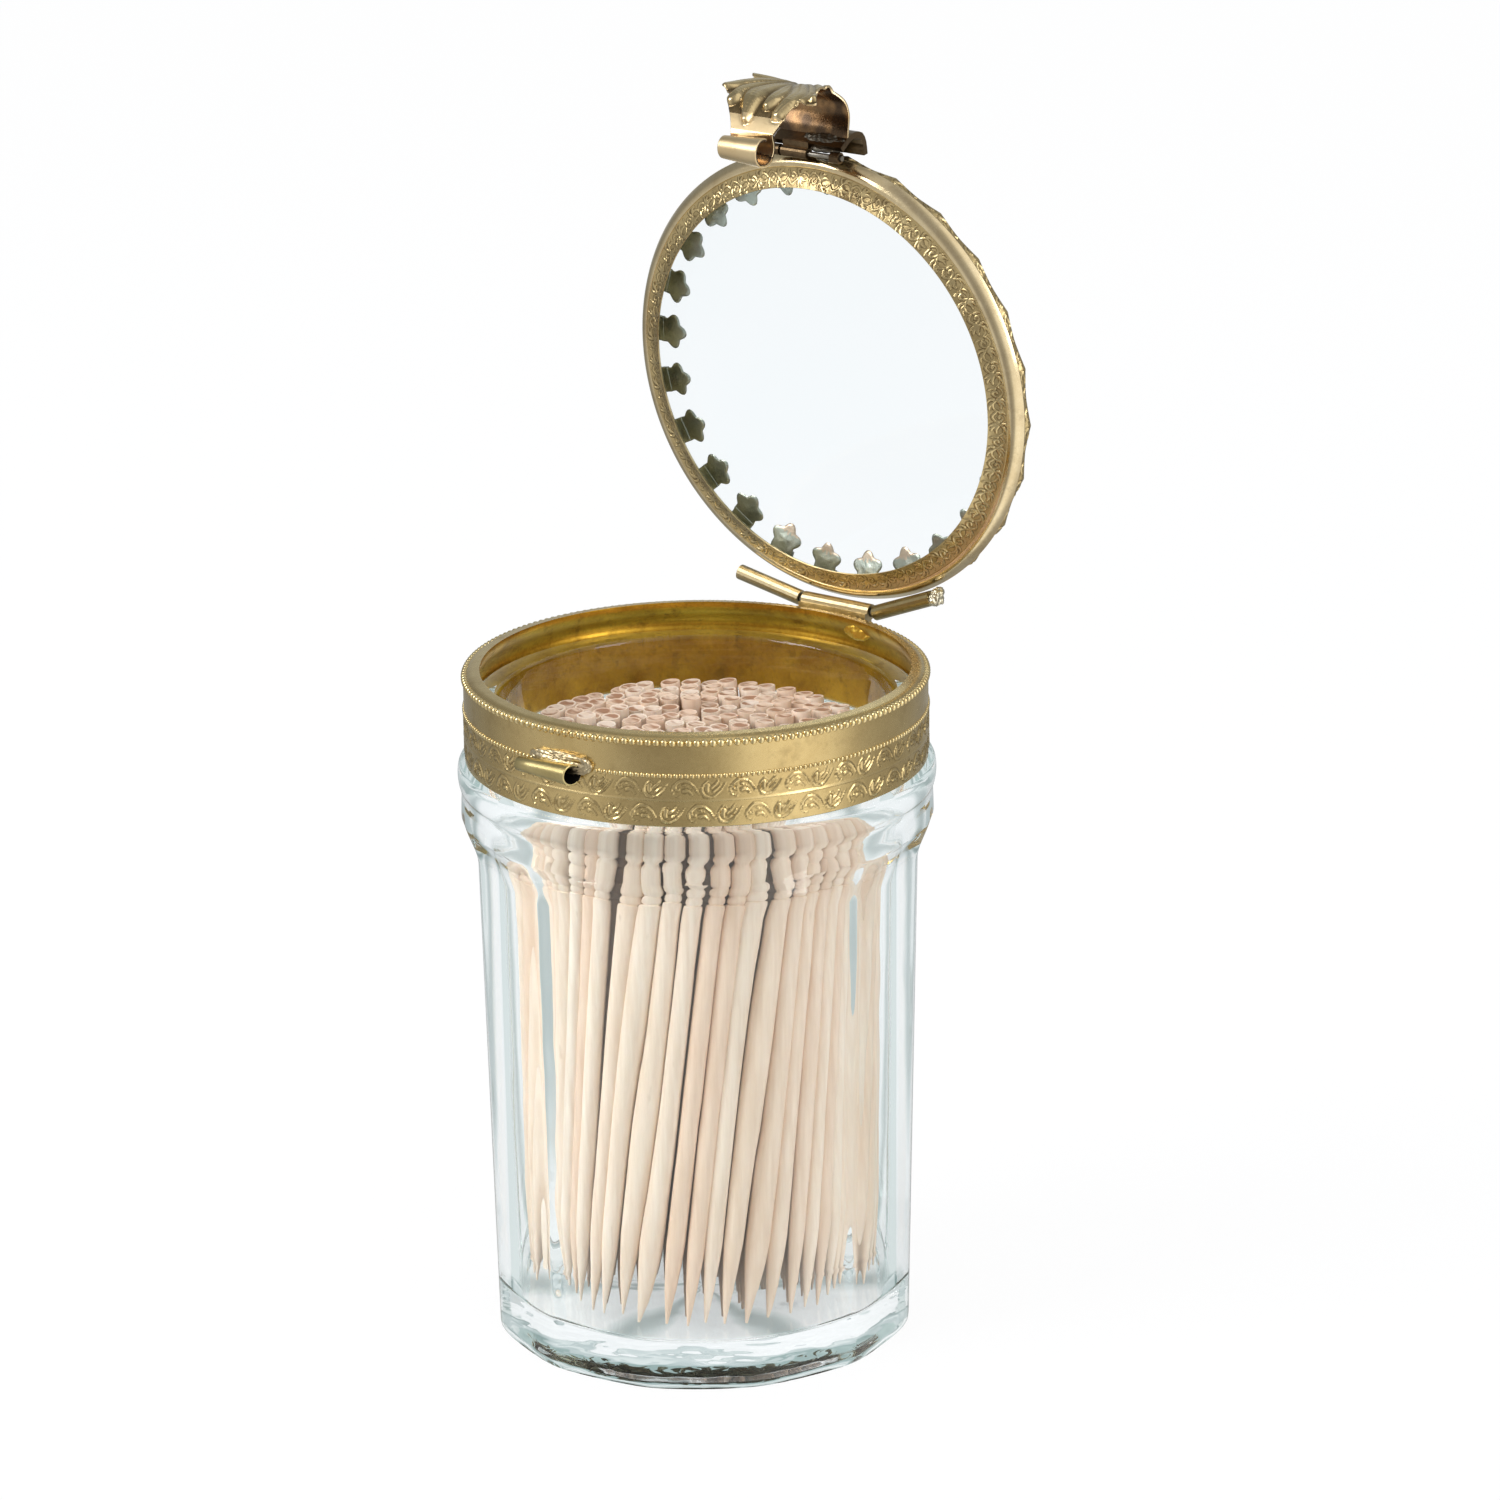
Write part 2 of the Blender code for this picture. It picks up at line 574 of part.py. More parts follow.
def make_gallery(lid_pivot, finish):
    """A strip with flats, cut with claws that bend in over the glass, folded up from one sheet."""
    shape = bmesh.new()
    top = CLAW_LOW + GALLERY_SHEET / 2
    wall_top = top - CLAW_BEND
    half_neck = CLAW_NECK / 2
    star_middle = GALLERY_FLAT - CLAW_BEND - STAR_RADIUS
    for claw in range(CLAW_COUNT):
        turn = Matrix.Rotation(CLAW_TURN - math.pi / 2 + FULL_TURN * claw / CLAW_COUNT, 3, "Z")
        half_sector = math.pi / CLAW_COUNT
        corner = (GALLERY_CORNER * math.cos(half_sector), GALLERY_CORNER * math.sin(half_sector))

        def place(radius, side, height):
            return shape.verts.new(turn @ Vector((radius, side, height)))

        rows = []
        for height in (GALLERY_LOW, wall_top):
            row = [place(corner[0], -corner[1], height), place(GALLERY_FLAT, -half_neck, height)]
            row += [place(GALLERY_FLAT, half_neck, height), place(corner[0], corner[1], height)]
            rows.append(row)
        for side in range(3):
            shape.faces.new((rows[0][side], rows[0][side + 1], rows[1][side + 1], rows[1][side]))
        bend = [rows[1][1], rows[1][2]]
        bent = [place(GALLERY_FLAT - CLAW_BEND, side, top) for side in (-half_neck, half_neck)]
        shape.faces.new((bend[0], bend[1], bent[1], bent[0]))
        star = [place(radius, side, top) for radius, side in star_points(star_middle)]
        shape.faces.new(bent + star)
    bmesh.ops.remove_doubles(shape, verts=shape.verts, dist=MERGE_DISTANCE)
    bmesh.ops.recalc_face_normals(shape, faces=shape.faces)
    shift_along_normals(shape, -GALLERY_SHEET / 2)
    bmesh.ops.solidify(shape, geom=shape.faces[:], thickness=-GALLERY_SHEET)
    return add_object("lid_gallery", on_lid(shape), finish, lid_pivot)


def hasp_point(out, up, side=0.0):
    """A point of the hasp from its pin: out from the lid is -Y."""
    return Vector((side, -out, up))


def leaf_rows():
    """Rows of points across the leaf, from its end by the foot, over the crest and round the roll."""
    middle = [hasp_point(out * HASP_REACH, up * HASP_DROP) for out, up in HASP_LINE_SHARES]
    bent_towards = hasp_point(HASP_REACH * CAMBER_OUT_SHARE, -HASP_DROP * CAMBER_DROP_SHARE)
    widths = [share * HASP_HALF_WIDTH for share in HASP_WIDTH_SHARES]
    line = smooth_line(middle, LINE_STEPS)
    rows = []
    for place, point in enumerate(line):
        along = place / LINE_STEPS
        base = min(int(along), len(middle) - 2)
        width = widths[base] + (widths[base + 1] - widths[base]) * (along - base)
        progress = place / (len(line) - 1)
        width -= SCALLOP_DEPTH * abs(math.cos(math.pi * SCALLOPS * progress)) * math.sin(math.pi * progress)
        inward = (bent_towards - point).normalized() * HASP_CAMBER
        rows.append([point + Vector((share * width, 0, 0)) + inward * share**2 for share in LEAF_ROW_SHARES])
    # The roll starts near its top, goes over to the side that faces the jar, and on under and back up
    for step in range(ROLL_STEPS + 1):
        angle = ROLL_START - ROLL_TURN * step / ROLL_STEPS
        row = []
        for share in LEAF_ROW_SHARES:
            radius = ROLL_RADIUS * (1 + ROLL_TAPER_SHARE * share)
            out = HASP_REACH * ROLL_OUT_SHARE + radius * math.sin(angle)
            up = -HASP_DROP + radius * math.cos(angle)
            row.append(hasp_point(out, up, share * widths[-1]))
        rows.append(row)
    return rows


def foot_rows():
    middle = [hasp_point(out * FOOT_REACH, up * TAIL_RISE) for out, up in FOOT_LINE_SHARES]
    rows = []
    for point in smooth_line(middle, FOOT_LINE_STEPS):
        rows.append([point + Vector((share * HASP_FOOT_HALF_WIDTH, 0, 0)) for share in FOOT_ROW_SHARES])
    return rows


def make_hasp(lid_pivot, finish, steel, hidden):
    hasp_pivot = add_pivot("hasp_pivot", (0, -HINGE_Y - HASP_PIN_Y, LID_FACE - HASP_PIN_DROP), lid_pivot)
    add_object("clasp_leaf", sheet(leaf_rows(), HASP_SHEET), finish, hasp_pivot)
    foot = add_object("clasp_foot", sheet(foot_rows(), HASP_FOOT_SHEET), finish, hasp_pivot)
    middle = (FOOT_TUBE_LEFT + FOOT_TUBE_RIGHT) / 2
    half = (FOOT_TUBE_RIGHT - FOOT_TUBE_LEFT) / 2
    # The foot's knuckle and the tab that joins it to the plate
    knuckle = add_object("clasp_foot_knuckle", along_x(rod(HASP_TUBE_RADIUS, half)), hidden, hasp_pivot)
    knuckle.location = (middle, 0, 0)
    tab_shape = boxed(2 * half, 2 * HASP_TUBE_RADIUS, HASP_FOOT_SHEET)
    tab = add_object("clasp_foot_tab", tab_shape, hidden, hasp_pivot)
    tab.location = (middle, -HASP_TUBE_RADIUS, HASP_FOOT_SHEET / 2)
    combine(foot, tab, "UNION")
    combine(foot, knuckle, "UNION")
    bore = add_object("clasp_foot_bore", along_x(rod(HASP_TUBE_BORE, half + CUT_OVERRUN)), hidden, hasp_pivot)
    bore.location = knuckle.location
    combine(foot, bore, "DIFFERENCE")
    pin = add_object("clasp_pin", along_x(rod(HASP_PIN_RADIUS, HASP_PIN_HALF)), steel, lid_pivot)
    pin.location = hasp_pivot.location
    for name, side in (("clasp_lug_left", -1), ("clasp_lug_right", 1)):
        tube = tube_outline(HASP_TUBE_RADIUS, HASP_TUBE_BORE, -LUG_LENGTH / 2, LUG_LENGTH / 2)
        lug = add_object(name, along_x(spun(tube, TUBE_STEPS)), finish, lid_pivot)
        lug.location = hasp_pivot.location + Vector((side * (LUG_END - LUG_LENGTH / 2), 0, 0))


def pick_ring(radius, count, size, height, turn, lobes_out, lobes_in):
    """Points round a ring of picks at one height, first the outer outline and then the inner."""
    outer, inner = [], []
    for pick in range(count):
        angle = turn + FULL_TURN * pick / count
        before = angle - math.pi / count
        valley = size * PICK_VALLEY_SHARE
        outer.append(polar(radius + valley, before, height))
        inner.append(polar(radius - valley, before, height))
        for lobe in lobes_out:
            outer.append(polar(radius + size * math.cos(lobe), angle + size * math.sin(lobe) / radius, height))
        for lobe in lobes_in:
            inner.append(polar(radius - size * math.cos(lobe), angle + size * math.sin(lobe) / radius, height))
    return outer, inner


def polar(radius, angle, height):
    return Vector((radius * math.cos(angle), radius * math.sin(angle), height))


def make_pick_row(name, radius, count, heights, finish):
    """A ring of picks that lean one way. The heights run from the tips, past the taper where it shows, to the top."""
    lobes_out = (-PICK_LOBE_ANGLE, PICK_LOBE_ANGLE)
    lobes_in = (0,)
    shape = bmesh.new()
    rings = []
    for height in heights:
        turn = PICK_TWIST * (height / PICK_LENGTH)
        straight = radius * math.cos(PICK_TWIST / 2) / math.cos(turn - PICK_TWIST / 2)
        size = PICK_RADIUS * (PICK_TIP_SHARE if height == 0 else 1)
        outlines = pick_ring(straight, count, size, height, turn, lobes_out, lobes_in)
        rings.append([[shape.verts.new(point) for point in outline] for outline in outlines])
    for near, far in zip(rings, rings[1:]):
        for side in (0, 1):
            total = len(near[side])
            for place in range(total):
                after = (place + 1) % total
                shape.faces.new((near[side][place], near[side][after], far[side][after], far[side][place]))
    out_step = len(lobes_out) + 1
    in_step = len(lobes_in) + 1
    for outer, inner in (rings[0], rings[-1]):
        for pick in range(count):
            front = [outer[(pick * out_step + place) % len(outer)] for place in range(out_step + 1)]
            back = [inner[(pick * in_step + place) % len(inner)] for place in range(in_step + 1)]
            shape.faces.new(front + back[::-1])
    made = add_object(name, shape, finish)
    made.location = (0, 0, PICK_FLOOR)
    return made


def make_middle_pick(name, length, finish):
    outline = ((0, length), (PICK_RADIUS, length), (PICK_RADIUS, PICK_TAPER), (PICK_RADIUS * PICK_TIP_SHARE, 0), (0, 0))
    made = add_object(name, spun(outline, TUBE_STEPS // 2, closed=False), finish)
    made.location = (0, 0, PICK_FLOOR)
    return made


def make_toothpicks(finish):
    """Rings from the outside inwards, each about as high as the crown of the bundle there, and one in the middle."""
    ring_pitch = 2 * PICK_RADIUS + PICK_RING_GAP
    spacing = 2 * PICK_RADIUS * PICK_SPACING_SHARE
    for row in range(PICK_RINGS + 1):
        inwards = row / PICK_RINGS
        length = PICK_LENGTH - PICK_CROWN * (1 - inwards) ** 2
        name = f"toothpick_row_{row + 1:02d}"
        if row == PICK_RINGS:
            make_middle_pick(name, length, finish)
            continue
        radius = (PICK_RINGS - row) * ring_pitch
        count = int(FULL_TURN * radius * math.cos(PICK_TWIST / 2) / spacing)
        # The taper shows through the glass only on the outermost ring
        heights = (0, PICK_TAPER, length) if row == 0 else (0, length)
        make_pick_row(name, radius, count, heights, finish)


def main():
    clear_scene()
    glass = surface("clear_glass", (0.92, 0.97, 0.96), 0.0, 0.05, transmission=1.0)
    brass = surface("aged_brass", (0.56, 0.42, 0.19), 1.0, 0.35)
    leaf_brass = surface("leaf_brass", (0.60, 0.47, 0.25), 1.0, 0.32)
    hinge_brass = surface("hinge_brass", (0.62, 0.55, 0.38), 1.0, 0.38)
    claw_brass = surface("claw_brass", (0.40, 0.38, 0.32), 1.0, 0.45)
    wire = surface("pin_wire", (0.45, 0.43, 0.40), 1.0, 0.4)
    wood = surface("pale_wood", (0.86, 0.72, 0.55), 0.0, 0.65)
    cutter = surface("cutter", (0.5, 0.5, 0.5), 0.0, 0.5)

    make_jar(glass)
    make_collar(brass)
    make_catch(brass, cutter)
    make_collar_knuckle(hinge_brass, cutter)
    lid_pivot = add_pivot("lid_pivot", (0, HINGE_Y, HINGE_Z), turn=-LID_OPEN)
    make_lid_knuckle("hinge_knuckle_left", -1, lid_pivot, hinge_brass)
    make_lid_knuckle("hinge_knuckle_right", 1, lid_pivot, hinge_brass)
    make_hinge_pin(lid_pivot, wire)
    make_lid_ring(lid_pivot, brass)
    make_lid_glass(lid_pivot, glass)
    make_gallery(lid_pivot, claw_brass)
    make_hasp(lid_pivot, leaf_brass, wire, cutter)
    make_toothpicks(wood)


main()
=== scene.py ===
import math

import bpy
import numpy as np
from mathutils import Matrix, Vector


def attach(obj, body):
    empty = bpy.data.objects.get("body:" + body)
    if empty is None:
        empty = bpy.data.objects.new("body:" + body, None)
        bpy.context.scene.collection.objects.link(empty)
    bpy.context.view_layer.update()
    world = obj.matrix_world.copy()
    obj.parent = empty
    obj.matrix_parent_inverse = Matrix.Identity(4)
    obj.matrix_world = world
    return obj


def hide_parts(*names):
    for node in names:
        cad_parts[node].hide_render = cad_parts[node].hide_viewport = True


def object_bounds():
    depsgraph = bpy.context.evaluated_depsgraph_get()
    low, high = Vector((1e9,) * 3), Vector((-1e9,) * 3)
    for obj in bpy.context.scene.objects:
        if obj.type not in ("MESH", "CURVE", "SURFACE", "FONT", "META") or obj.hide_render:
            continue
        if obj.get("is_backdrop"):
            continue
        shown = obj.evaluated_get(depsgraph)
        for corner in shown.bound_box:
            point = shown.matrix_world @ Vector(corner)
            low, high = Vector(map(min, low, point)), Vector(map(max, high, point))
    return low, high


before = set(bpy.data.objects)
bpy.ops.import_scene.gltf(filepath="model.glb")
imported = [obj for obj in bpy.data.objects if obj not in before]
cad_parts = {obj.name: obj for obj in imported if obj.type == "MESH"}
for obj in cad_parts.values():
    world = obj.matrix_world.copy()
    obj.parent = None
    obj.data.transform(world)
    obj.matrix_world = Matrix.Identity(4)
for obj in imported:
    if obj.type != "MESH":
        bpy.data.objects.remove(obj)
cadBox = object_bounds()
mm = 0.001
fullTurn = 2 * math.pi
rng = np.random.default_rng(7)

# Sizes are in millimetres. The foot's centre is the origin, the hinge is at +Y and the catch at -Y.
lidPlace = dict(hingeY=27.38, hingeZ=78.0, openTurn=84.45, faceHeight=0.15, pinY=27.05, pinDrop=0.4)


def startFresh():
    if bpy.context.object and bpy.context.object.mode != "OBJECT":
        bpy.ops.object.mode_set(mode="OBJECT")
    bpy.ops.object.select_all(action="DESELECT")


def pick(piece):
    startFresh()
    piece.select_set(True)
    bpy.context.view_layer.objects.active = piece
    return piece


def nameIt(name):
    piece = bpy.context.object
    piece.name = name
    piece.data.name = name
    return piece


def applyPlace(piece):
    pick(piece)
    bpy.ops.object.transform_apply(location=True, rotation=True, scale=True)
    return piece


def startEditing():
    bpy.ops.object.mode_set(mode="EDIT")
    bpy.ops.mesh.select_all(action="SELECT")


def stopEditing():
    bpy.ops.object.mode_set(mode="OBJECT")


def joinAll(pieces, name):
    startFresh()
    for piece in pieces:
        piece.select_set(True)
    bpy.context.view_layer.objects.active = pieces[0]
    if len(pieces) > 1:
        bpy.ops.object.join()
    return nameIt(name)


def turnOnLathe(name, profile, steps, closed=False):
    # A ring of points is extruded from one (radius, height) of the profile to the next
    startFresh()
    radius, height = profile[0]
    bpy.ops.mesh.primitive_circle_add(vertices=steps, radius=radius * mm, location=(0, 0, height * mm))
    piece = applyPlace(nameIt(name))
    startEditing()
    if not closed:
        bpy.ops.mesh.edge_face_add()
    for newRadius, newHeight in profile[1:] + (profile[:1] if closed else []):
        lift = (newHeight - height) * mm
        bpy.ops.mesh.extrude_edges_move(TRANSFORM_OT_translate={"value": (0, 0, lift)})
        share = newRadius / radius
        bpy.ops.transform.resize(value=(share, share, 1), center_override=(0, 0, newHeight * mm))
        radius, height = newRadius, newHeight
    if not closed:
        bpy.ops.mesh.edge_face_add()
    bpy.ops.mesh.select_all(action="SELECT")
    bpy.ops.mesh.remove_doubles(threshold=1e-7)
    bpy.ops.mesh.normals_make_consistent(inside=False)
    stopEditing()
    return piece


def smoothBelow(piece, degrees):
    pick(piece)
    bpy.ops.object.shade_smooth_by_angle(angle=math.radians(degrees))
    return piece


def shift(x, y, z):
    return Matrix.Translation(Vector((x, y, z)) * mm)


def spin(angle, axis="Z"):
    return Matrix.Rotation(angle, 4, axis)


lidTurn = shift(0, lidPlace["hingeY"], lidPlace["hingeZ"]) @ spin(-math.radians(lidPlace["openTurn"]), "X")


def openWithLid(piece):
    # Takes a piece that was made on the closed lid, about the jar's own axis, up to the open lid
    back = shift(0, -lidPlace["hingeY"], lidPlace["faceHeight"])
    piece.matrix_world = lidTurn @ back @ piece.matrix_world
    return applyPlace(piece)


def openWithHasp(piece):
    # The hasp is made about its own pin, which stands in front of the closed lid's ring
    piece.matrix_world = shift(0, -lidPlace["pinY"], -lidPlace["pinDrop"]) @ piece.matrix_world
    return openWithLid(piece)


def readVectors(source, name):
    values = np.empty(len(source) * 3, np.float32)
    source.foreach_get(name, values)
    return values.reshape(-1, 3)


def vertexPlaces(piece):
    return readVectors(piece.data.vertices, "co").astype(float) / mm


def toShare(values):
    return np.clip(values, 0, 1)


def polar(places):
    return np.hypot(places[:, 0], places[:, 1]), np.arctan2(places[:, 1], places[:, 0])


def putVertices(piece, places):
    piece.data.vertices.foreach_set("co", (places * mm).astype(np.float32).ravel())
    piece.data.update()


def keepOnPoints(piece, name, values):
    # A number on every point, which the finish reads with an Attribute node
    attribute = piece.data.attributes.new(name, "FLOAT", "POINT")
    attribute.data.foreach_set("value", np.asarray(values, np.float32))


def pressAlongNormals(piece, lift):
    normals = readVectors(piece.data.vertex_normals, "vector")
    putVertices(piece, vertexPlaces(piece) + normals * lift[:, None])


def smoothPath(points, steps=6):
    points = np.array(points, float)
    padded = np.vstack([points[:1], points, points[-1:]])
    path = []
    for before, start, end, after in zip(padded, padded[1:], padded[2:], padded[3:]):
        for share in np.arange(steps) / steps:
            bowed = (2 * before - 5 * start + 4 * end - after) * share**2
            last = (3 * start - before - 3 * end + after) * share**3
            path.append((2 * start + (end - before) * share + bowed + last) / 2)
    return np.array(path + [points[-1]])


def chasing(across, up, strokes, slim=1.0):
    # For points of a sheet: 1 on the crest of a chased stroke, below 0 in the line that outlines it
    nearest = np.full(across.shape, 9.0)
    for widthStart, widthEnd, points in strokes:
        path = smoothPath(points)
        widths = np.linspace(widthStart, widthEnd, len(path))
        for start, end, width in zip(path, path[1:], widths):
            run = end - start
            along = ((across - start[0]) * run[0] + (up - start[1]) * run[1]) / max(run @ run, 1e-9)
            along = toShare(along)
            gap = np.hypot(across - start[0] - along * run[0], up - start[1] - along * run[1])
            nearest = np.minimum(nearest, gap / (width * slim))
    crest = np.sqrt(toShare(1 - nearest**2))
    outline = 0.45 * np.sin(math.pi * toShare((nearest - 0.95) / 1.1))
    return crest - outline


def softMin(first, second, blendWidth):
    gap = toShare(0.5 + 0.5 * (second - first) / blendWidth)
    return second + (first - second) * gap - blendWidth * gap * (1 - gap)


# Finishes

def newFinish(name):
    finish = bpy.data.materials.new(name)
    finish.use_nodes = True
    return finish, finish.node_tree, finish.node_tree.nodes["Principled BSDF"]


def feed(tree, node, links):
    # A socket is linked and any other value is set
    for socket, value in links.items():
        if isinstance(value, bpy.types.NodeSocket):
            tree.links.new(value, node.inputs[socket])
        else:
            node.inputs[socket].default_value = value


def addNode(tree, kind, links=None, **settings):
    node = tree.nodes.new(kind if kind.startswith("NodeGroup") else "ShaderNode" + kind)
    for name, value in settings.items():
        setattr(node, name, value)
    feed(tree, node, links or {})
    return node


def mathNode(tree, operation, *values):
    return addNode(tree, "Math", dict(enumerate(values)), operation=operation).outputs[0]


def times(tree, first, second, plus=0.0):
    return mathNode(tree, "MULTIPLY_ADD", first, second, plus)


def mixColour(tree, share, first, second, way="MIX"):
    links = {0: share, 6: first, 7: second}
    return addNode(tree, "Mix", links, data_type="RGBA", blend_type=way).outputs[2]


def mixShaders(tree, share, first, second):
    return addNode(tree, "MixShader", {0: share, 1: first.outputs[0], 2: second.outputs[0]})


def rampNode(tree, value, stops):
    # Each stop is a place and a tone, which is a colour or a grey
    node = addNode(tree, "ValToRGB", {0: value})
    ramp = node.color_ramp
    while len(ramp.elements) < len(stops):
        ramp.elements.new(0.5)
    for element, (place, tone) in zip(ramp.elements, stops):
        element.position = place
        element.color = (*tone, 1) if isinstance(tone, tuple) else (tone, tone, tone, 1)
    return node.outputs[0]


def newGroup(name, inputs, outputs):
    group = bpy.data.node_groups.new(name, "ShaderNodeTree")
    for label, kind, value in inputs:
        socket = group.interface.new_socket(name=label, in_out="INPUT", socket_type="NodeSocket" + kind)
        socket.default_value = value
    for label, kind in outputs:
        group.interface.new_socket(name=label, in_out="OUTPUT", socket_type="NodeSocket" + kind)
    start = addNode(group, "NodeGroupInput")
    end = addNode(group, "NodeGroupOutput")
    return group, start, end


def objectPlace(tree):
    return addNode(tree, "TexCoord").outputs["Object"]


def pointValue(tree, name):
    return addNode(tree, "Attribute", attribute_name=name).outputs["Fac"]


def noiseNode(tree, place, scale, detail=3.0, roughness=0.5, stretch=(1, 1, 1)):
    if stretch != (1, 1, 1):
        place = addNode(tree, "Mapping", {"Vector": place, "Scale": stretch}).outputs[0]
    links = {"Vector": place, "Scale": scale, "Detail": detail, "Roughness": roughness}
    return addNode(tree, "TexNoise", links).outputs[0]


def bumpNode(tree, height, strength, distance):
    links = {"Strength": strength, "Distance": distance * mm, "Height": height}
    return addNode(tree, "Bump", links).outputs[0]


def makeAgeingAndShade():
    # Old brass: mottled tone, brown tarnish in patches, tarnish and painted shade in hollows, painted highlights
    # on crests, fine grain
    inputs = [
        ("Bright", "Color", (0.5, 0.36, 0.15, 1)), ("Dark", "Color", (0.2, 0.13, 0.05, 1)),
        ("TarnishAndShade", "Color", (0.1, 0.08, 0.05, 1)), ("Relief", "Float", 0.0), ("Amount", "Float", 0.4),
    ]
    outputs = [("Colour", "Color"), ("Roughness", "Float"), ("Height", "Float")]
    group, start, end = newGroup("oldBrassAgeingAndShade", inputs, outputs)
    bright, dark, tarnishAndShade, relief, amount = (start.outputs[label] for label, kind, value in inputs)
    place = objectPlace(group)
    cloud = noiseNode(group, place, 160, 4, 0.6)
    grain = noiseNode(group, place, 2600, 3, 0.65)
    spots = noiseNode(group, place, 520, 5, 0.7)
    tone = times(group, cloud, 0.75, times(group, grain, 0.25))
    colour = mixColour(group, rampNode(group, tone, [(0.32, 0), (0.68, 1)]), dark, bright)
    spotMask = rampNode(group, spots, [(0.52, 0), (0.72, 1)])
    colour = mixColour(group, times(group, spotMask, amount), colour, tarnishAndShade)
    # Tarnish and painted shade darken the hollows, and the crests are rubbed bright and given a painted highlight
    hollow = addNode(group, "Clamp", {0: times(group, relief, -2.2)}).outputs[0]
    colour = mixColour(group, times(group, hollow, 0.8), colour, tarnishAndShade)
    crest = addNode(group, "Clamp", {0: relief}).outputs[0]
    worn = mixColour(group, 0.5, bright, (1, 0.86, 0.55, 1))
    colour = mixColour(group, times(group, crest, 0.3), colour, worn)
    rough = times(group, grain, 0.1, times(group, spotMask, 0.14))
    rough = times(group, crest, -0.06, rough)
    height = times(group, cloud, 0.4, times(group, grain, 0.6))
    feed(group, end, {"Colour": colour, "Roughness": rough, "Height": height})
    return group


ageingAndShade = makeAgeingAndShade()


def brassFinish(name, bright, dark, tarnishAndShade, amount, roughness, bump, relief="", brushed=0.0):
    finish, tree, shader = newFinish(name)
    links = {"Bright": (*bright, 1), "Dark": (*dark, 1), "TarnishAndShade": (*tarnishAndShade, 1), "Amount": amount}
    if relief:
        links["Relief"] = pointValue(tree, relief)
    group = addNode(tree, "Group", links, node_tree=ageingAndShade)
    height = group.outputs["Height"]
    if brushed:
        # Fine lines left by the lathe, round the jar's axis
        lines = noiseNode(tree, objectPlace(tree), 260, 4, 0.7, (0.35, 0.35, 26))
        height = times(tree, lines, brushed, height)
    rough = mathNode(tree, "ADD", group.outputs["Roughness"], roughness)
    feed(tree, shader, {"Base Color": group.outputs["Colour"], "Roughness": rough, "Metallic": 1})
    feed(tree, shader, {"Normal": bumpNode(tree, height, 0.35, bump)})
    return finish


def trappedLight(tree, path):
    return mathNode(tree, "GREATER_THAN", path.outputs["Glossy Depth"], 2.5)


def glassFinish(name, tint, waves, waveScale, stretch=(1, 1, 1), ior=1.5):
    finish, tree, shader = newFinish(name)
    place = objectPlace(tree)
    # The thick glass of the foot is wavier
    height = addNode(tree, "SeparateXYZ", {0: place}).outputs["Z"]
    share = rampNode(tree, times(tree, height, 50), [(0.3, 1), (0.6, 0.22)])
    wave = times(tree, noiseNode(tree, place, waveScale, 2, 0.5, stretch), share)
    paler = tuple(min(1, 1.02 * part) for part in tint)
    tone = rampNode(tree, noiseNode(tree, place, 60, 2), [(0.3, tint), (0.7, paler)])
    links = {"Base Color": tone, "Normal": bumpNode(tree, wave, 0.5, waves), "Roughness": 0, "IOR": ior}
    feed(tree, shader, {**links, "Transmission Weight": 1})
    # Lamps shine through the glass, and light that has bounced about inside it comes out
    path = addNode(tree, "LightPath")
    trapped = trappedLight(tree, path)
    lost = mixColour(tree, trapped, (0.97, 0.98, 0.98, 1), (0.8, 0.86, 0.85, 1))
    clear = addNode(tree, "BsdfTransparent", {"Color": lost})
    through = mathNode(tree, "MAXIMUM", path.outputs["Is Shadow Ray"], trapped)
    mixed = mixShaders(tree, through, shader, clear)
    feed(tree, tree.nodes["Material Output"], {"Surface": mixed.outputs[0]})
    return finish


def woodFinish(name):
    finish, tree, shader = newFinish(name)
    place = objectPlace(tree)
    tone, end, shadeBetweenPicks = (pointValue(tree, value) for value in ("tone", "endGrainAndDishShade", "shadeBetweenPicks"))
    grain = noiseNode(tree, place, 420, 4, 0.6, (3.2, 3.2, 0.22))
    fibre = noiseNode(tree, place, 2400, 3, 0.6, (1, 1, 0.12))
    colour = rampNode(tree, tone, [(0, (0.9, 0.69, 0.53)), (0.5, (0.96, 0.78, 0.62)), (1, (0.98, 0.86, 0.73))])
    streak = rampNode(tree, grain, [(0.35, (0.86, 0.8, 0.74)), (0.65, 1)])
    colour = mixColour(tree, 0.75, colour, streak, "MULTIPLY")
    fleck = rampNode(tree, noiseNode(tree, place, 900, 2, 0.5, (1, 1, 0.3)), [(0.7, 0), (0.78, 1)])
    colour = mixColour(tree, times(tree, fleck, 0.25), colour, (0.45, 0.27, 0.14, 1))
    # Brown streaks on the sawn ends: darker end grain, and painted shade in the dish of each end
    streaks = rampNode(tree, noiseNode(tree, place, 700, 2, 0.5, (0.45, 1.6, 1)), [(0.42, 0.25), (0.56, 1)])
    colour = mixColour(tree, times(tree, end, streaks), colour, (0.4, 0.21, 0.12, 1))
    # Painted shade between the picks, where little light gets in
    colour = mixColour(tree, times(tree, shadeBetweenPicks, 0.85), colour, (0.22, 0.13, 0.08, 1))
    rough = times(tree, fibre, 0.2, 0.5)
    feed(tree, shader, {"Base Color": colour, "Roughness": rough, "Normal": bumpNode(tree, fibre, 0.3, 0.03)})
    feed(tree, shader, {"Subsurface Weight": 0.08, "Subsurface Radius": (0.001, 0.0006, 0.0003)})
    return finish
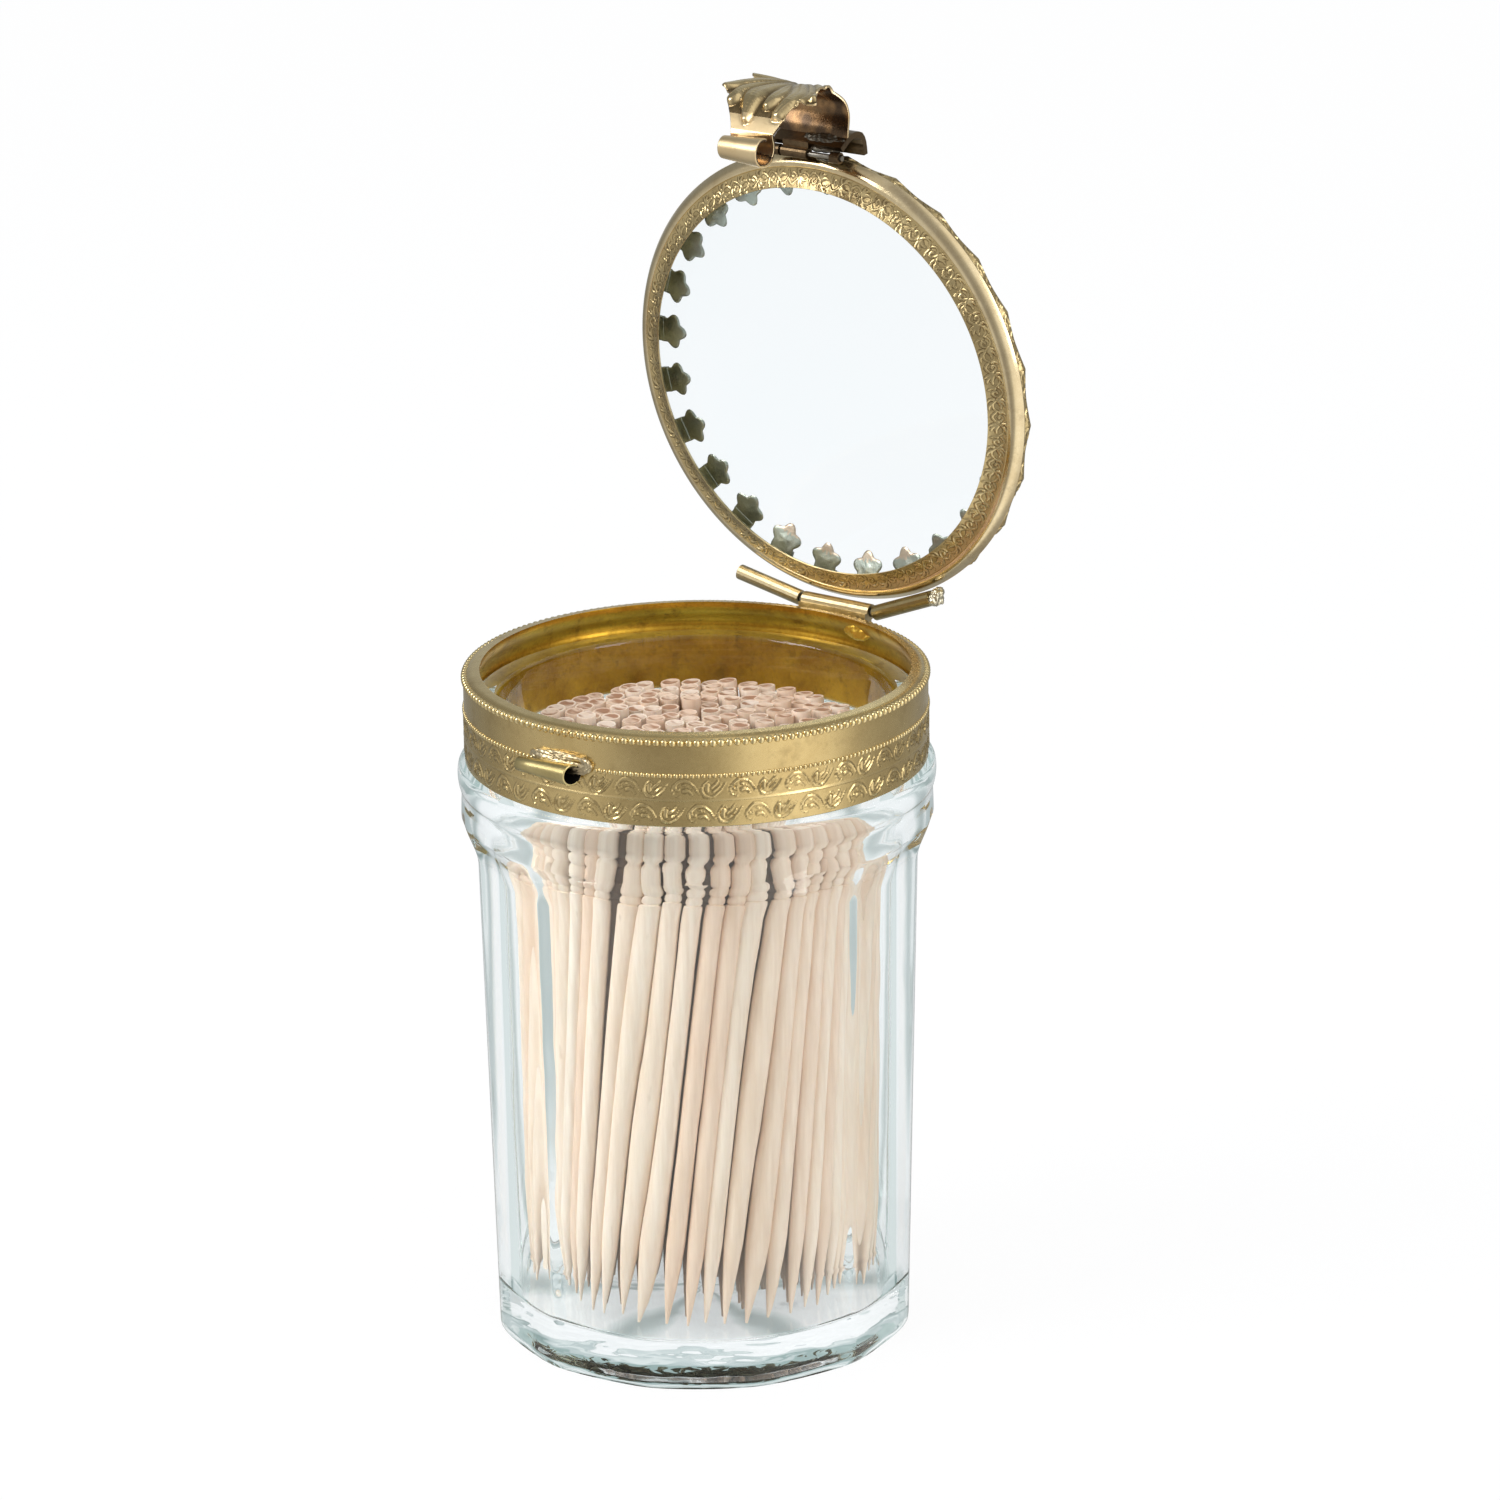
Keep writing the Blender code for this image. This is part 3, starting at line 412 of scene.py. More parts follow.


# Bright, dark and tarnished tone, the last also painting shade in hollows, then the amount of tarnish, the
# roughness and the depth of the grain
brasses = dict(
    collarBrass=((0.75, 0.58, 0.28), (0.61, 0.45, 0.2), (0.2, 0.14, 0.06), 0.3, 0.22, 0.008, "relief", 1.6),
    beadBrass=((0.86, 0.72, 0.4), (0.7, 0.53, 0.25), (0.22, 0.15, 0.06), 0.2, 0.2, 0.006),
    ringBrass=((0.7, 0.56, 0.29), (0.47, 0.35, 0.17), (0.1, 0.06, 0.03), 0.42, 0.27, 0.012, "relief"),
    ridgeBrass=((0.86, 0.73, 0.48), (0.66, 0.52, 0.3), (0.24, 0.17, 0.09), 0.3, 0.11, 0.006),
    innerBrass=((0.72, 0.44, 0.05), (0.35, 0.175, 0.02), (0.13, 0.06, 0.012), 0.55, 0.27, 0.004),
    leafBrass=((0.72, 0.57, 0.32), (0.5, 0.38, 0.19), (0.14, 0.09, 0.04), 0.4, 0.19, 0.01, "relief"),
    leafPolish=((0.93, 0.75, 0.46), (0.82, 0.62, 0.35), (0.42, 0.27, 0.13), 0.12, 0.25, 0.001),
    leafInside=((0.5, 0.3, 0.14), (0.2, 0.115, 0.06), (0.045, 0.035, 0.03), 0.65, 0.22, 0.03, "sootAndFoldShade"),
    catchBrass=((0.62, 0.52, 0.26), (0.46, 0.37, 0.16), (0.14, 0.1, 0.05), 0.35, 0.27, 0.01),
    boreShadeBlack=((0.03, 0.028, 0.025), (0.015, 0.014, 0.013), (0.04, 0.03, 0.02), 0.3, 0.6, 0.01),
    hingeBrass=((0.64, 0.54, 0.34), (0.44, 0.35, 0.2), (0.18, 0.12, 0.06), 0.45, 0.28, 0.008),
    oliveBrass=((0.5, 0.42, 0.22), (0.32, 0.25, 0.12), (0.12, 0.08, 0.04), 0.5, 0.24, 0.012),
    darkBrass=((0.22, 0.15, 0.08), (0.09, 0.06, 0.035), (0.035, 0.025, 0.02), 0.6, 0.26, 0.04),
    clawBrass=((0.45, 0.48, 0.42), (0.25, 0.27, 0.23), (0.36, 0.29, 0.22), 0.4, 0.3, 0.025),
    bentBrass=((0.58, 0.47, 0.36), (0.4, 0.32, 0.24), (0.22, 0.18, 0.14), 0.4, 0.28, 0.015),
    pinSteel=((0.48, 0.46, 0.41), (0.26, 0.24, 0.2), (0.1, 0.07, 0.04), 0.5, 0.3, 0.03),
    patchBrass=((0.9, 0.62, 0.12), (0.62, 0.38, 0.05), (0.24, 0.13, 0.03), 0.35, 0.3, 0.02),
    solder=((0.82, 0.72, 0.5), (0.44, 0.34, 0.19), (0.12, 0.08, 0.04), 0.6, 0.28, 0.12),
    brightSolder=((0.86, 0.82, 0.68), (0.6, 0.54, 0.38), (0.16, 0.12, 0.08), 0.5, 0.2, 0.08),
    darkSolder=((0.26, 0.24, 0.2), (0.1, 0.09, 0.07), (0.04, 0.03, 0.025), 0.6, 0.3, 0.2),
)
finishes = {name: brassFinish(name, *tones) for name, tones in brasses.items()}
finishes["jarGlass"] = glassFinish("jarGlass", (0.975, 0.99, 0.985), 0.9, 110, (1, 1, 0.45))
finishes["lidGlass"] = glassFinish("lidGlass", (0.985, 0.995, 0.995), 0.02, 60, ior=1.18)
finishes["birchWood"] = woodFinish("birchWood")
print("finishes are mixed")


def dress(piece, finish, body, slot, *nodes):
    piece.data.materials.clear()
    piece.data.materials.append(finishes[finish])
    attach(piece, body)
    if nodes:
        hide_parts(*nodes)
    return piece


def paintFaces(piece, finish, isChosen):
    # A second finish on the faces that the test picks, by radius, height and normal
    piece.data.materials.append(finishes[finish])
    for face in piece.data.polygons:
        middle = face.center / mm
        if isChosen(math.hypot(middle.x, middle.y), middle.z, face.normal, middle):
            face.material_index = len(piece.data.materials) - 1


# The jar: pressed glass with twelve panels that run out under the shoulder bead

jar = dict(
    height=74.5, bore=22.2, neck=25.03, shoulder=67.6, rimRound=0.6, floor=5.3, fillet=0.7,
    bandHigh=64.4, bandLow=61.2, band=26.6, beadProud=0.3, panelTop=56.2, bodyHigh=25.4, bodyLow=24.25,
    foot=23.36, footBevel=0.9, hollow=0.7, hollowRadius=20.6, panels=12, panelDepth=0.66, panelTurn=6.65,
    flute=0.03, cornerSoftness=0.75, cornerRound=(0.085, 0.025), steps=720, brassLow=67.7, brassHigh=73.95,
)


def arc(radius, height, bend, start, end, count):
    # Points round a middle at (radius, height), from one angle in degrees to another
    angles = np.radians(np.linspace(start, end, count))
    return [(radius + bend * math.cos(angle), height + bend * math.sin(angle)) for angle in angles]


def jarProfile():
    low, high, foot, top = jar["bodyLow"], jar["bodyHigh"], jar["footBevel"], jar["panelTop"]
    band, bandLow, bandHigh, shoulder = jar["band"], jar["bandLow"], jar["bandHigh"], jar["shoulder"]
    # The underside is a little hollow and stands on a ring
    hollow, edge = jar["hollow"], jar["hollowRadius"]
    side = [(5.0, hollow), (14.0, hollow + 0.03), (edge - 2.2, hollow - 0.05), (edge - 1, hollow * 0.5)]
    side += [(edge - 0.3, hollow * 0.08), (edge, 0.0)]
    side += [(jar["foot"], 0.0), (jar["foot"] + 0.45, 0.12), (low - 0.12, 0.5)]
    side += [(low + (high - low) * share, foot + (top - foot) * share) for share in np.linspace(0, 1, 12)]
    for share in np.linspace(0, 1, 11)[1:]:
        swell = (1 - math.cos(math.pi * share)) / 2
        side.append((high + (band - high) * swell, top + (bandLow - top) * share))
    side += [(band - 0.04, 62.6), (band - 0.1, 63.7), (band - 0.05, bandHigh)]
    for share in np.linspace(0, 1, 13)[1:-1]:
        bulge = jar["beadProud"] * math.sin(math.pi * share) ** 0.8
        bend = max(0, share - 0.75) / 0.25
        radius = band + bulge - 1.1 * (1 - math.sqrt(max(0, 1 - bend**2)))
        side.append((radius, bandHigh + (shoulder - bandHigh) * share))
    neck, bore, floor = jar["neck"], jar["bore"], jar["floor"]
    side += [(neck + 0.35, shoulder), (neck, shoulder + 0.35)]
    rim, fillet = jar["rimRound"], jar["fillet"]
    side += arc(neck - rim, jar["height"] - rim, rim, 0, 90, 5)
    side += arc(bore + rim, jar["height"] - rim, rim, 90, 180, 5)
    side += [(bore, height) for height in (66, 58, 48, 38, 28, 18)]
    side += arc(bore - fillet, floor + fillet, fillet, 0, -90, 7)
    return side + [(14.0, floor - 0.12), (5.0, floor - 0.2)]


def pressPanels(piece):
    places = vertexPlaces(piece)
    height = places[:, 2]
    radius, turn = polar(places)
    sector = fullTurn / jar["panels"]
    around = turn + math.pi / 2 - math.radians(jar["panelTurn"])
    aside = (around + sector / 2) % sector - sector / 2
    share = toShare((height - jar["footBevel"]) / (jar["panelTop"] - jar["footBevel"]))
    flat = jar["bodyLow"] + (jar["bodyHigh"] - jar["bodyLow"]) * share - jar["panelDepth"]
    runOut = np.clip((height - jar["panelTop"]) / (jar["bandLow"] - jar["panelTop"]), 0, None)
    flat += (jar["band"] - jar["bodyHigh"] + jar["panelDepth"]) * runOut**2
    flat -= jar["flute"] * toShare(1 - (aside / (sector / 2)) ** 2) * toShare(1 - runOut)
    # The corners between the panels are rounded, the two beside the front panel more than the others
    worn = np.abs((around - sector + math.pi) % fullTurn - math.pi) < sector
    rounded = sector / 2 - np.hypot(sector / 2 - np.abs(aside), np.where(worn, *jar["cornerRound"]))
    wanted = softMin(radius, flat / np.cos(rounded), jar["cornerSoftness"])
    outside = (radius > jar["bore"] + 0.7) & (height < jar["bandLow"] - 0.05)
    wanted = np.where(outside, wanted, radius)
    places[:, :2] *= (wanted / np.maximum(radius, 0.01))[:, None]
    putVertices(piece, places)


def isUnderCollar(radius, height, normal, middle):
    return radius > jar["neck"] - 0.13 and jar["brassLow"] < height < jar["brassHigh"]


jarBody = turnOnLathe("jarBody", jarProfile(), jar["steps"])
# A column of points stands on each corner between two panels
jarBody.matrix_world = spin(math.radians(jar["panelTurn"] % 1))
applyPlace(jarBody)
pressPanels(jarBody)
smoothBelow(jarBody, 40)
dress(jarBody, "jarGlass", "jar", "jar_glass", "glass_jar")
# Inside the collar the brass lies close against the neck
paintFaces(jarBody, "innerBrass", isUnderCollar)
print("the jar is pressed")


# The collar: a brass band with two rows of beads and two bands of running scroll

collar = dict(
    radius=26.03, inside=25.33, lipRadius=24.15, bottom=67.66, top=77.95, lineHeight=70.7, lowBand=69.2,
    highBand=72.1, halfBand=1.4, unitPairs=26, relief=0.105, slim=0.78, steps=1248,
)
# Two rows of beads: how many, radius of a bead, height and radius of the row, depth of a bead
beadRows = dict(collarBeads=(184, 0.46, 77.2, 25.84, 0.95), collarFineBeads=(270, 0.29, 73.5, 26.03, 0.6))
# Strokes of the running scroll: half widths at both ends, then points along a unit 3.1 long and 2.4 high
archStrokes = [
    (0.1, 0.2, [(0.98, -0.02), (0.76, -0.24), (0.5, -0.02), (0.58, 0.45), (1.05, 0.85)]),
    (0.2, 0.08, [(1.05, 0.85), (1.8, 0.82), (2.4, 0.42), (2.8, -0.2), (3.0, -0.62)]),
    (0.14, 0.06, [(0.36, 0.3), (0.18, -0.2), (0.4, -0.75), (0.95, -0.95)]),
    (0.22, 0.08, [(1.42, -0.3), (1.9, -0.28), (2.38, -0.75)]),
    (0.1, 0.05, [(1.3, 0.38), (1.85, 0.22), (2.2, -0.1)]),
]
bowlStrokes = [
    (0.09, 0.18, [(0.8, 0.8), (0.42, 0.35), (0.24, -0.25), (0.5, -0.82)]),
    (0.18, 0.08, [(0.5, -0.82), (1.1, -1.0), (1.8, -0.75), (2.4, -0.1), (2.85, 0.6)]),
    (0.32, 0.12, [(0.85, 0.3), (0.8, -0.12), (0.86, -0.4)]),
    (0.2, 0.07, [(1.25, 0.08), (1.7, 0.42), (2.05, 0.95)]),
    (0.15, 0.06, [(1.5, -0.38), (1.95, -0.02), (2.3, 0.5)]),
    (0.1, 0.05, [(0.98, 0.82), (1.25, 0.55)]),
]


def collarProfile():
    outer, inside, lip = collar["radius"], collar["inside"], collar["lipRadius"]
    top, low = collar["top"], collar["bottom"]
    side = [(inside + 0.12, low), (outer - 0.12, low), (outer, low + 0.1)]
    side += [(outer, height) for height in np.arange(67.9, 74.05, 0.12)]
    side += [(outer, height) for height in (74.6, 75.4, 76.2, 76.8, 77.0)]
    # The top is rounded outside and flat as far as a sharp inner edge, then the wall goes down to the glass
    side += [(outer - 0.08, 77.2), (outer - 0.25, 77.45), (outer - 0.5, 77.68), (outer - 0.8, 77.83)]
    side += [(lip + 0.8, 77.88), (lip + 0.3, 77.92), (lip + 0.06, top), (lip + 0.01, top), (lip, top - 0.05)]
    side += [(lip, 77.55), (lip + 0.06, 77.3), (lip + 0.4, 76.6), (lip + 0.95, 76.0), (inside - 0.08, 75.5)]
    side += [(inside, 75.1), (inside - 0.12, 74.6), (25.07, 74.2), (25.1, 74.0)]
    return side + [(inside, 73.9), (inside, 72.0)]


def chaseCollar(piece):
    places = vertexPlaces(piece)
    height = places[:, 2]
    radius, turn = polar(places)
    units = 2 * collar["unitPairs"]
    unit = fullTurn * collar["radius"] / units
    run = (turn % fullTurn) * collar["radius"]
    lift, shadow = np.zeros((2, len(places)))
    outside = radius > collar["radius"] - 0.05
    for middle, offset in ((collar["lowBand"], 0.0), (collar["highBand"], 0.55)):
        inBand = outside & (np.abs(height - middle) < collar["halfBand"])
        place = run[inBand] / unit + offset
        along = place % 2
        across = (along % 1) * unit
        up = height[inBand] - middle
        slim = collar["slim"]
        arch, bowl = (chasing(across, up, strokes, slim) for strokes in (archStrokes, bowlStrokes))
        wide = [chasing(across, up, strokes, 2 * slim) for strokes in (archStrokes, bowlStrokes)]
        shadow[inBand] = np.where(along < 1, *wide)
        # No two strokes of the tool are equally deep
        force = rng.uniform(0.7, 1.15, units + 2)
        lift[inBand] = np.where(along < 1, arch, bowl) * force[place.astype(int)]
    line = outside & (np.abs(height - collar["lineHeight"]) < 0.4)
    gap = np.abs(height[line] - collar["lineHeight"]) / 0.13
    lift[line] = np.maximum(np.sqrt(toShare(1 - gap**2)), lift[line] * (gap > 1.2))
    pressAlongNormals(piece, lift * collar["relief"])
    # Painted shade: the ground close to a stroke is darker
    keepOnPoints(piece, "relief", np.where(lift > 0.2, lift, -0.3 * (shadow > 0.05)))


def beadRow(name, count, size, height, outer, depth):
    # One bead, then copies of it all the way round
    startFresh()
    middle = (0, -outer * mm, height * mm)
    bpy.ops.mesh.primitive_uv_sphere_add(segments=10, ring_count=6, radius=size * mm, location=middle)
    piece = nameIt(name)
    piece.scale = (1, depth, 1)
    applyPlace(piece)
    startEditing()
    for _ in range(count - 1):
        bpy.ops.mesh.duplicate()
        bpy.ops.transform.rotate(value=fullTurn / count, orient_axis="Z", center_override=(0, 0, 0))
    stopEditing()
    return smoothBelow(piece, 60)


def isCollarInside(radius, height, normal, middle):
    facesOut = normal.x * middle.x + normal.y * middle.y > 0.02
    return radius < collar["inside"] + 0.06 and not facesOut and normal.z < 0.6


collarBand = turnOnLathe("collarBand", collarProfile(), collar["steps"], closed=True)
chaseCollar(collarBand)
smoothBelow(collarBand, 45)
dress(collarBand, "collarBrass", "jar", "collar_brass", "collar_band")
# The inside has its own warmer finish, from the lip's inner edge down. Its deep orange is partly the brass's tone
# and partly a painted glow of light reflected round inside the collar
paintFaces(collarBand, "innerBrass", isCollarInside)
for name, sizes in beadRows.items():
    dress(beadRow(name, *sizes), "beadBrass", "jar", "collar_brass")
print("the collar is chased")


# The catch: a thin tube on a lump of solder, on the collar's front

catch = dict(
    length=7.4, radius=1.1, wall=0.17, aside=0.1, height=73.2, narrow=0.72, wide=1.1, slant=0.3,
    rounding=0.06, lump=(4.3, 1.0, 1.3), lumpPlace=(1.1, -25.95, 73.95),
)
# The yellow patch inside the collar is where the heat got when the hinge was soldered on
patch = dict(place=(5.18, 23.9, 76.5), size=(1.9, 0.3, 0.9))


def tubeProfile():
    outer, half, bend = catch["radius"], catch["length"] / 2, catch["rounding"]
    bore = outer - catch["wall"]
    side = [(bore, -half), (outer - bend, -half), (outer, bend - half), (outer, -half / 2), (outer, 0)]
    return side + [(outer, half / 2), (outer, half - bend), (outer - bend, half), (bore, half), (bore, 0)]


def lumpOfSolder(name, middle, size, roughness, seed):
    # A ball is flattened on the wall and roughened by waves, each finer and lower than the one before
    startFresh()
    bpy.ops.mesh.primitive_ico_sphere_add(subdivisions=5, radius=mm)
    piece = nameIt(name)
    piece.scale = size
    applyPlace(piece)
    places = vertexPlaces(piece)
    waves = np.zeros(len(places))
    noise = np.random.default_rng(seed)
    for octave in range(14):
        direction = noise.normal(size=3)
        direction /= np.linalg.norm(direction)
        pace = 2.2 * 1.35 ** (octave / 1.4)
        waves += np.sin(places @ direction * pace + noise.uniform(0, 6.3)) / (1 + octave * 0.35)
    pressAlongNormals(piece, roughness * waves)
    piece.location = Vector(middle) * mm
    return smoothBelow(applyPlace(piece), 50)


catchY = -(collar["radius"] + 0.3 + catch["radius"])
catchTube = turnOnLathe("catchTube", tubeProfile(), 48, closed=True)
# It widens to the right, where its end is filed at a slant, and is laid down along X
places = vertexPlaces(catchTube)
share = places[:, 2:] / catch["length"] + 0.5
places[:, :2] *= catch["narrow"] + (catch["wide"] - catch["narrow"]) * share
places[:, 2] += catch["slant"] * places[:, 1] * share[:, 0] ** 3
putVertices(catchTube, places)
catchTube.matrix_world = shift(catch["aside"], catchY, catch["height"]) @ spin(math.pi / 2, "Y")
applyPlace(catchTube)
dress(smoothBelow(catchTube, 40), "catchBrass", "jar", "collar_brass", "catch_tube")


def isTubeBore(radius, height, normal, middle):
    outward = (middle.y - catchY) * normal.y + (middle.z - catch["height"]) * normal.z
    return outward < -0.2


# The bore is painted black: painted shade inside the tube
paintFaces(catchTube, "boreShadeBlack", isTubeBore)
catchSolder = lumpOfSolder("catchSolder", catch["lumpPlace"], catch["lump"], 0.1, 3)
dress(catchSolder, "solder", "jar", "collar_brass", "catch_saddle")
hingePatch = lumpOfSolder("hingePatch", patch["place"], patch["size"], 0.05, 23)
dress(hingePatch, "patchBrass", "jar", "collar_brass")
print("the catch is soldered on")


# Toothpicks: turned heads up, a little uneven, all leaning one way

toothpick = dict(
    length=64.95, radius=1.13, sides=14, hiddenSides=10, floor=5.5, rings=7, ringPitch=2.589, gapShare=0.993,
    pitch=2.32, lean=25.0, crown=0.35, crownRadius=18.1, sink=0.5, jitter=0.2, headDish=0.16,
)
# Down from the head, with the share of the full radius: a turned head, a point and a plainer head
headShares = [
    (0.0, 0.97), (0.05, 1.0), (2.6, 0.99), (4.5, 0.96), (5.2, 0.7), (5.6, 0.7), (6.3, 0.94), (7.4, 1.0),
    (8.5, 0.93), (9.0, 0.7), (9.3, 0.7), (9.8, 0.93), (10.3, 0.97), (10.8, 0.92), (11.2, 0.72), (11.7, 0.87),
    (12.4, 0.88), (12.75, 0.72), (12.95, 0.96), (13.6, 1.02), (30.0, 1.02), (46.0, 1.0),
]
pointShares = [(10.0, 0.97), (7.5, 0.84), (4.5, 0.6), (2.0, 0.34), (0.0, 0.11)]
plainShares = [(0.0, 0.97), (4.5, 0.96), (5.4, 0.72), (6.3, 0.95), (13.0, 1.0)]


def pickProfile(shares):
    radius, length = toothpick["radius"], toothpick["length"]
    side = [(share * radius, height) for height, share in reversed(pointShares)]
    side += [(share * radius, length - drop) for drop, share in reversed(shares)]
    dish = (radius * 0.35, length - toothpick["headDish"])
    return side + [(radius * 0.9, length), (radius * 0.74, length - 0.05), dish]


def fillJar(name, shares, sides, rings):
    # One pick is turned, then copied round each ring with its own lean, height and tone
    model = turnOnLathe("onePick", pickProfile(shares), sides)
    count = len(model.data.vertices)
    spots = vertexPlaces(model)
    length, width = toothpick["length"], toothpick["radius"]
    # End grain, where the finish paints darker wood and the shade in each end's dish
    endGrainAndDishShade = ((polar(spots)[0] < width * 0.8) & (spots[:, 2] > length - 0.5)).astype(float)
    nearTop = spots[:, 2] > length - 0.35
    copies, tones, ends, shadesBetweenPicks = [], [], [], []
    for ring in rings:
        radius = (toothpick["rings"] - ring) * toothpick["ringPitch"]
        total = max(1, int(fullTurn * radius * toothpick["gapShare"] / toothpick["pitch"]))
        crown = toothpick["crown"] * (1 - (radius / toothpick["crownRadius"]) ** 2)
        for place in range(total):
            angle = fullTurn * place / total + rng.normal() * 0.008
            lean = math.radians(toothpick["lean"]) + rng.normal() * 0.016
            inward = radius - abs(rng.normal()) * toothpick["jitter"]
            lift = crown + rng.uniform(-0.1, toothpick["sink"])
            # A few stand higher than the rest
            lift += (rng.uniform() > 0.93) * rng.uniform(0.2, 0.7)
            foot = toothpick["floor"] + max(0, lift)
            low = Vector((inward * math.cos(angle), inward * math.sin(angle), foot))
            high = Vector((inward * math.cos(angle + lean), inward * math.sin(angle + lean), foot + length))
            piece = model.copy()
            piece.data = model.data.copy()
            bpy.context.scene.collection.objects.link(piece)
            turn = (high - low).to_track_quat("Z", "Y").to_matrix().to_4x4() @ spin(rng.uniform(0, fullTurn))
            piece.matrix_world = Matrix.Translation(low * mm) @ turn
            copies.append(piece)
            tones += [rng.uniform()] * count
            ends += list(endGrainAndDishShade)
            # Painted shade: little light gets in between the picks, so the sides that face inwards and the picks
            # behind the outer ring are darkened, all but their top ends
            outward = Vector((math.cos(angle + lean / 2), math.sin(angle + lean / 2), 0))
            local = turn.to_3x3().transposed() @ outward
            facing = (spots[:, 0] * local.x + spots[:, 1] * local.y) / width
            depth = toShare(-1.3 * facing - 0.05) if ring == 0 else np.full(count, 0.75)
            shadesBetweenPicks += list(np.where(nearTop, 0, depth))
    bpy.data.objects.remove(model)
    piece = applyPlace(joinAll(copies, name))
    for label, values in (("tone", tones), ("endGrainAndDishShade", ends), ("shadeBetweenPicks", shadesBetweenPicks)):
        keepOnPoints(piece, label, values)
    return smoothBelow(piece, 38)


for name, shares, sides, rings, nodes in (
    ("toothpicksOutside", headShares, toothpick["sides"], (0,), (1,)),
    ("toothpicksBehind", headShares, toothpick["hiddenSides"], (1, 2), (2, 3)),
    ("toothpicksInside", plainShares, toothpick["hiddenSides"], (3, 4, 5, 6, 7), (4, 5, 6, 7, 8)),
):
    picks = fillJar(name, shares, sides, rings)
    dress(picks, "birchWood", "jar", "pale_wood", *[f"toothpick_row_{row:02d}" for row in nodes])
print("the jar is full of toothpicks")


# The lid: an engraved ring, a gallery of flats with bent claws, and its glass

ring = dict(
    inner=22.97, rollFrom=24.6, roll=0.85, face=25.15, outer=26.62, plate=0.6, height=1.5, wall=0.8,
    ridge=1.13, units=52, unitLength=3.55, upShare=1.2, slim=1.5, shadowSlim=2.8, depth=0.06, steps=2100,
)
gallery = dict(
    flat=26.2, proud=0.5, low=1.2, top=2.5, middle=1.85, sheet=0.45, claws=25, turn=0.8,
    relief=0.1, steps=1200,
)
claw = dict(
    middle=23.5, radius=2.2, waist=0.72, low=2.62, thickness=0.44, neck=3.0, neckWidth=1.5,
    neckPlace=(25.2, 0, 2.83), bent={12: 0.34, 13: 0.2, 14: 0.32, 11: 0.24},
)
# Strokes as on the collar: the ring's flower in a unit 3.55 long, and the leaves on one flat of the gallery
faceStrokes = [
    (0.09, 0.07, [(0.05, -0.35), (0.7, -0.8), (1.5, -0.3), (2.2, 0.55), (3.0, 0.6), (3.5, 0.1)]),
    (0.06, 0.1, [(1.5, -0.25), (1.25, 0.35), (0.8, 0.55), (0.55, 0.2), (0.85, -0.02)]),
    (0.15, 0.05, [(2.05, -0.15), (2.6, -0.35), (3.1, -0.3)]),
    (0.15, 0.05, [(1.95, -0.3), (2.3, -0.75), (2.75, -0.95)]),
    (0.13, 0.05, [(1.75, -0.45), (1.85, -0.85), (2.05, -1.1)]),
    (0.14, 0.05, [(2.3, 0.75), (2.75, 1.05), (3.2, 1.05)]),
    (0.12, 0.05, [(1.7, 0.5), (1.65, 0.9), (1.9, 1.15)]),
    (0.12, 0.05, [(0.15, 0.15), (0.1, 0.6), (0.3, 1.0)]),
]
sideStrokes = [
    (0.16, 0.06, [(0.3, 0.0), (1.0, 0.35), (1.7, 0.3)]),
    (0.16, 0.06, [(0.35, -0.1), (1.1, -0.3), (1.9, -0.25)]),
    (0.12, 0.05, [(2.2, 0.4), (2.8, 0.05), (3.4, 0.3)]),
    (0.14, 0.05, [(4.6, 0.3), (5.3, -0.1), (6.0, 0.25)]),
    (0.12, 0.05, [(4.3, -0.3), (4.9, -0.35), (5.7, -0.3)]),
]


def faceDrop(radius):
    # The face rolls down towards its inner edge
    share = toShare((ring["rollFrom"] - radius) / (ring["rollFrom"] - ring["inner"]))
    return -ring["roll"] * share**1.6


def ringProfile():
    inner, rollFrom, face, end = ring["inner"], ring["rollFrom"], ring["face"], ring["outer"]
    plate, height = ring["plate"], ring["height"]
    side = [(rollFrom, plate), (inner + 0.5, 0.1), (inner + 0.04, faceDrop(inner) + 0.3)]
    side += [(inner, faceDrop(inner) + 0.08), (inner + 0.05, faceDrop(inner + 0.05))]
    side += [(radius, faceDrop(radius)) for radius in np.arange(inner + 0.14, face - 0.03, 0.09)]
    # A fine groove parts the face from the polished slope of the edge
    side += [(face, 0.0), (face + 0.05, 0.07), (face + 0.1, 0.02)]
    start = face + 0.1
    for share in np.linspace(0, 1, 10)[1:]:
        side.append((start + (end - start) * share, 0.02 + ring["ridge"] * share**2.4))
    side += [(end + 0.02, 1.15), (end, 1.25), (end - 0.2, 1.35), (end - 0.25, height)]
    return side + [(end - ring["wall"], height), (end - ring["wall"], plate)]


def engraveRing(piece):
    places = vertexPlaces(piece)
    middle = (ring["inner"] + ring["face"]) / 2
    radius, turn = polar(places)
    unit = fullTurn * middle / ring["units"]
    onFace = (radius > ring["inner"] + 0.1) & (radius < ring["face"] - 0.08)
    face = (np.abs(places[:, 2] - faceDrop(radius)) < 0.03) & onFace
    run = (turn[face] % fullTurn) * middle
    across = (run % unit) * ring["unitLength"] / unit
    # Every second flower is upside down
    up = (radius[face] - middle) * ring["upShare"] * np.where((run // unit) % 2 < 1, 1, -1)
    force = rng.uniform(0.7, 1.15, ring["units"] + 1)[(run / unit).astype(int)]
    lift, shadow = np.zeros((2, len(places)))
    lift[face] = chasing(across, up, faceStrokes, ring["slim"]) * force
    shadow[face] = chasing(across, up, faceStrokes, ring["shadowSlim"])
    pressAlongNormals(piece, lift * ring["depth"])
    # A stroke is rubbed bright along its back, with a painted highlight, and painted shade darkens both its sides
    keepOnPoints(piece, "relief", np.where(lift > 0.3, lift, np.where(shadow > 0.05, -0.38, 0)))


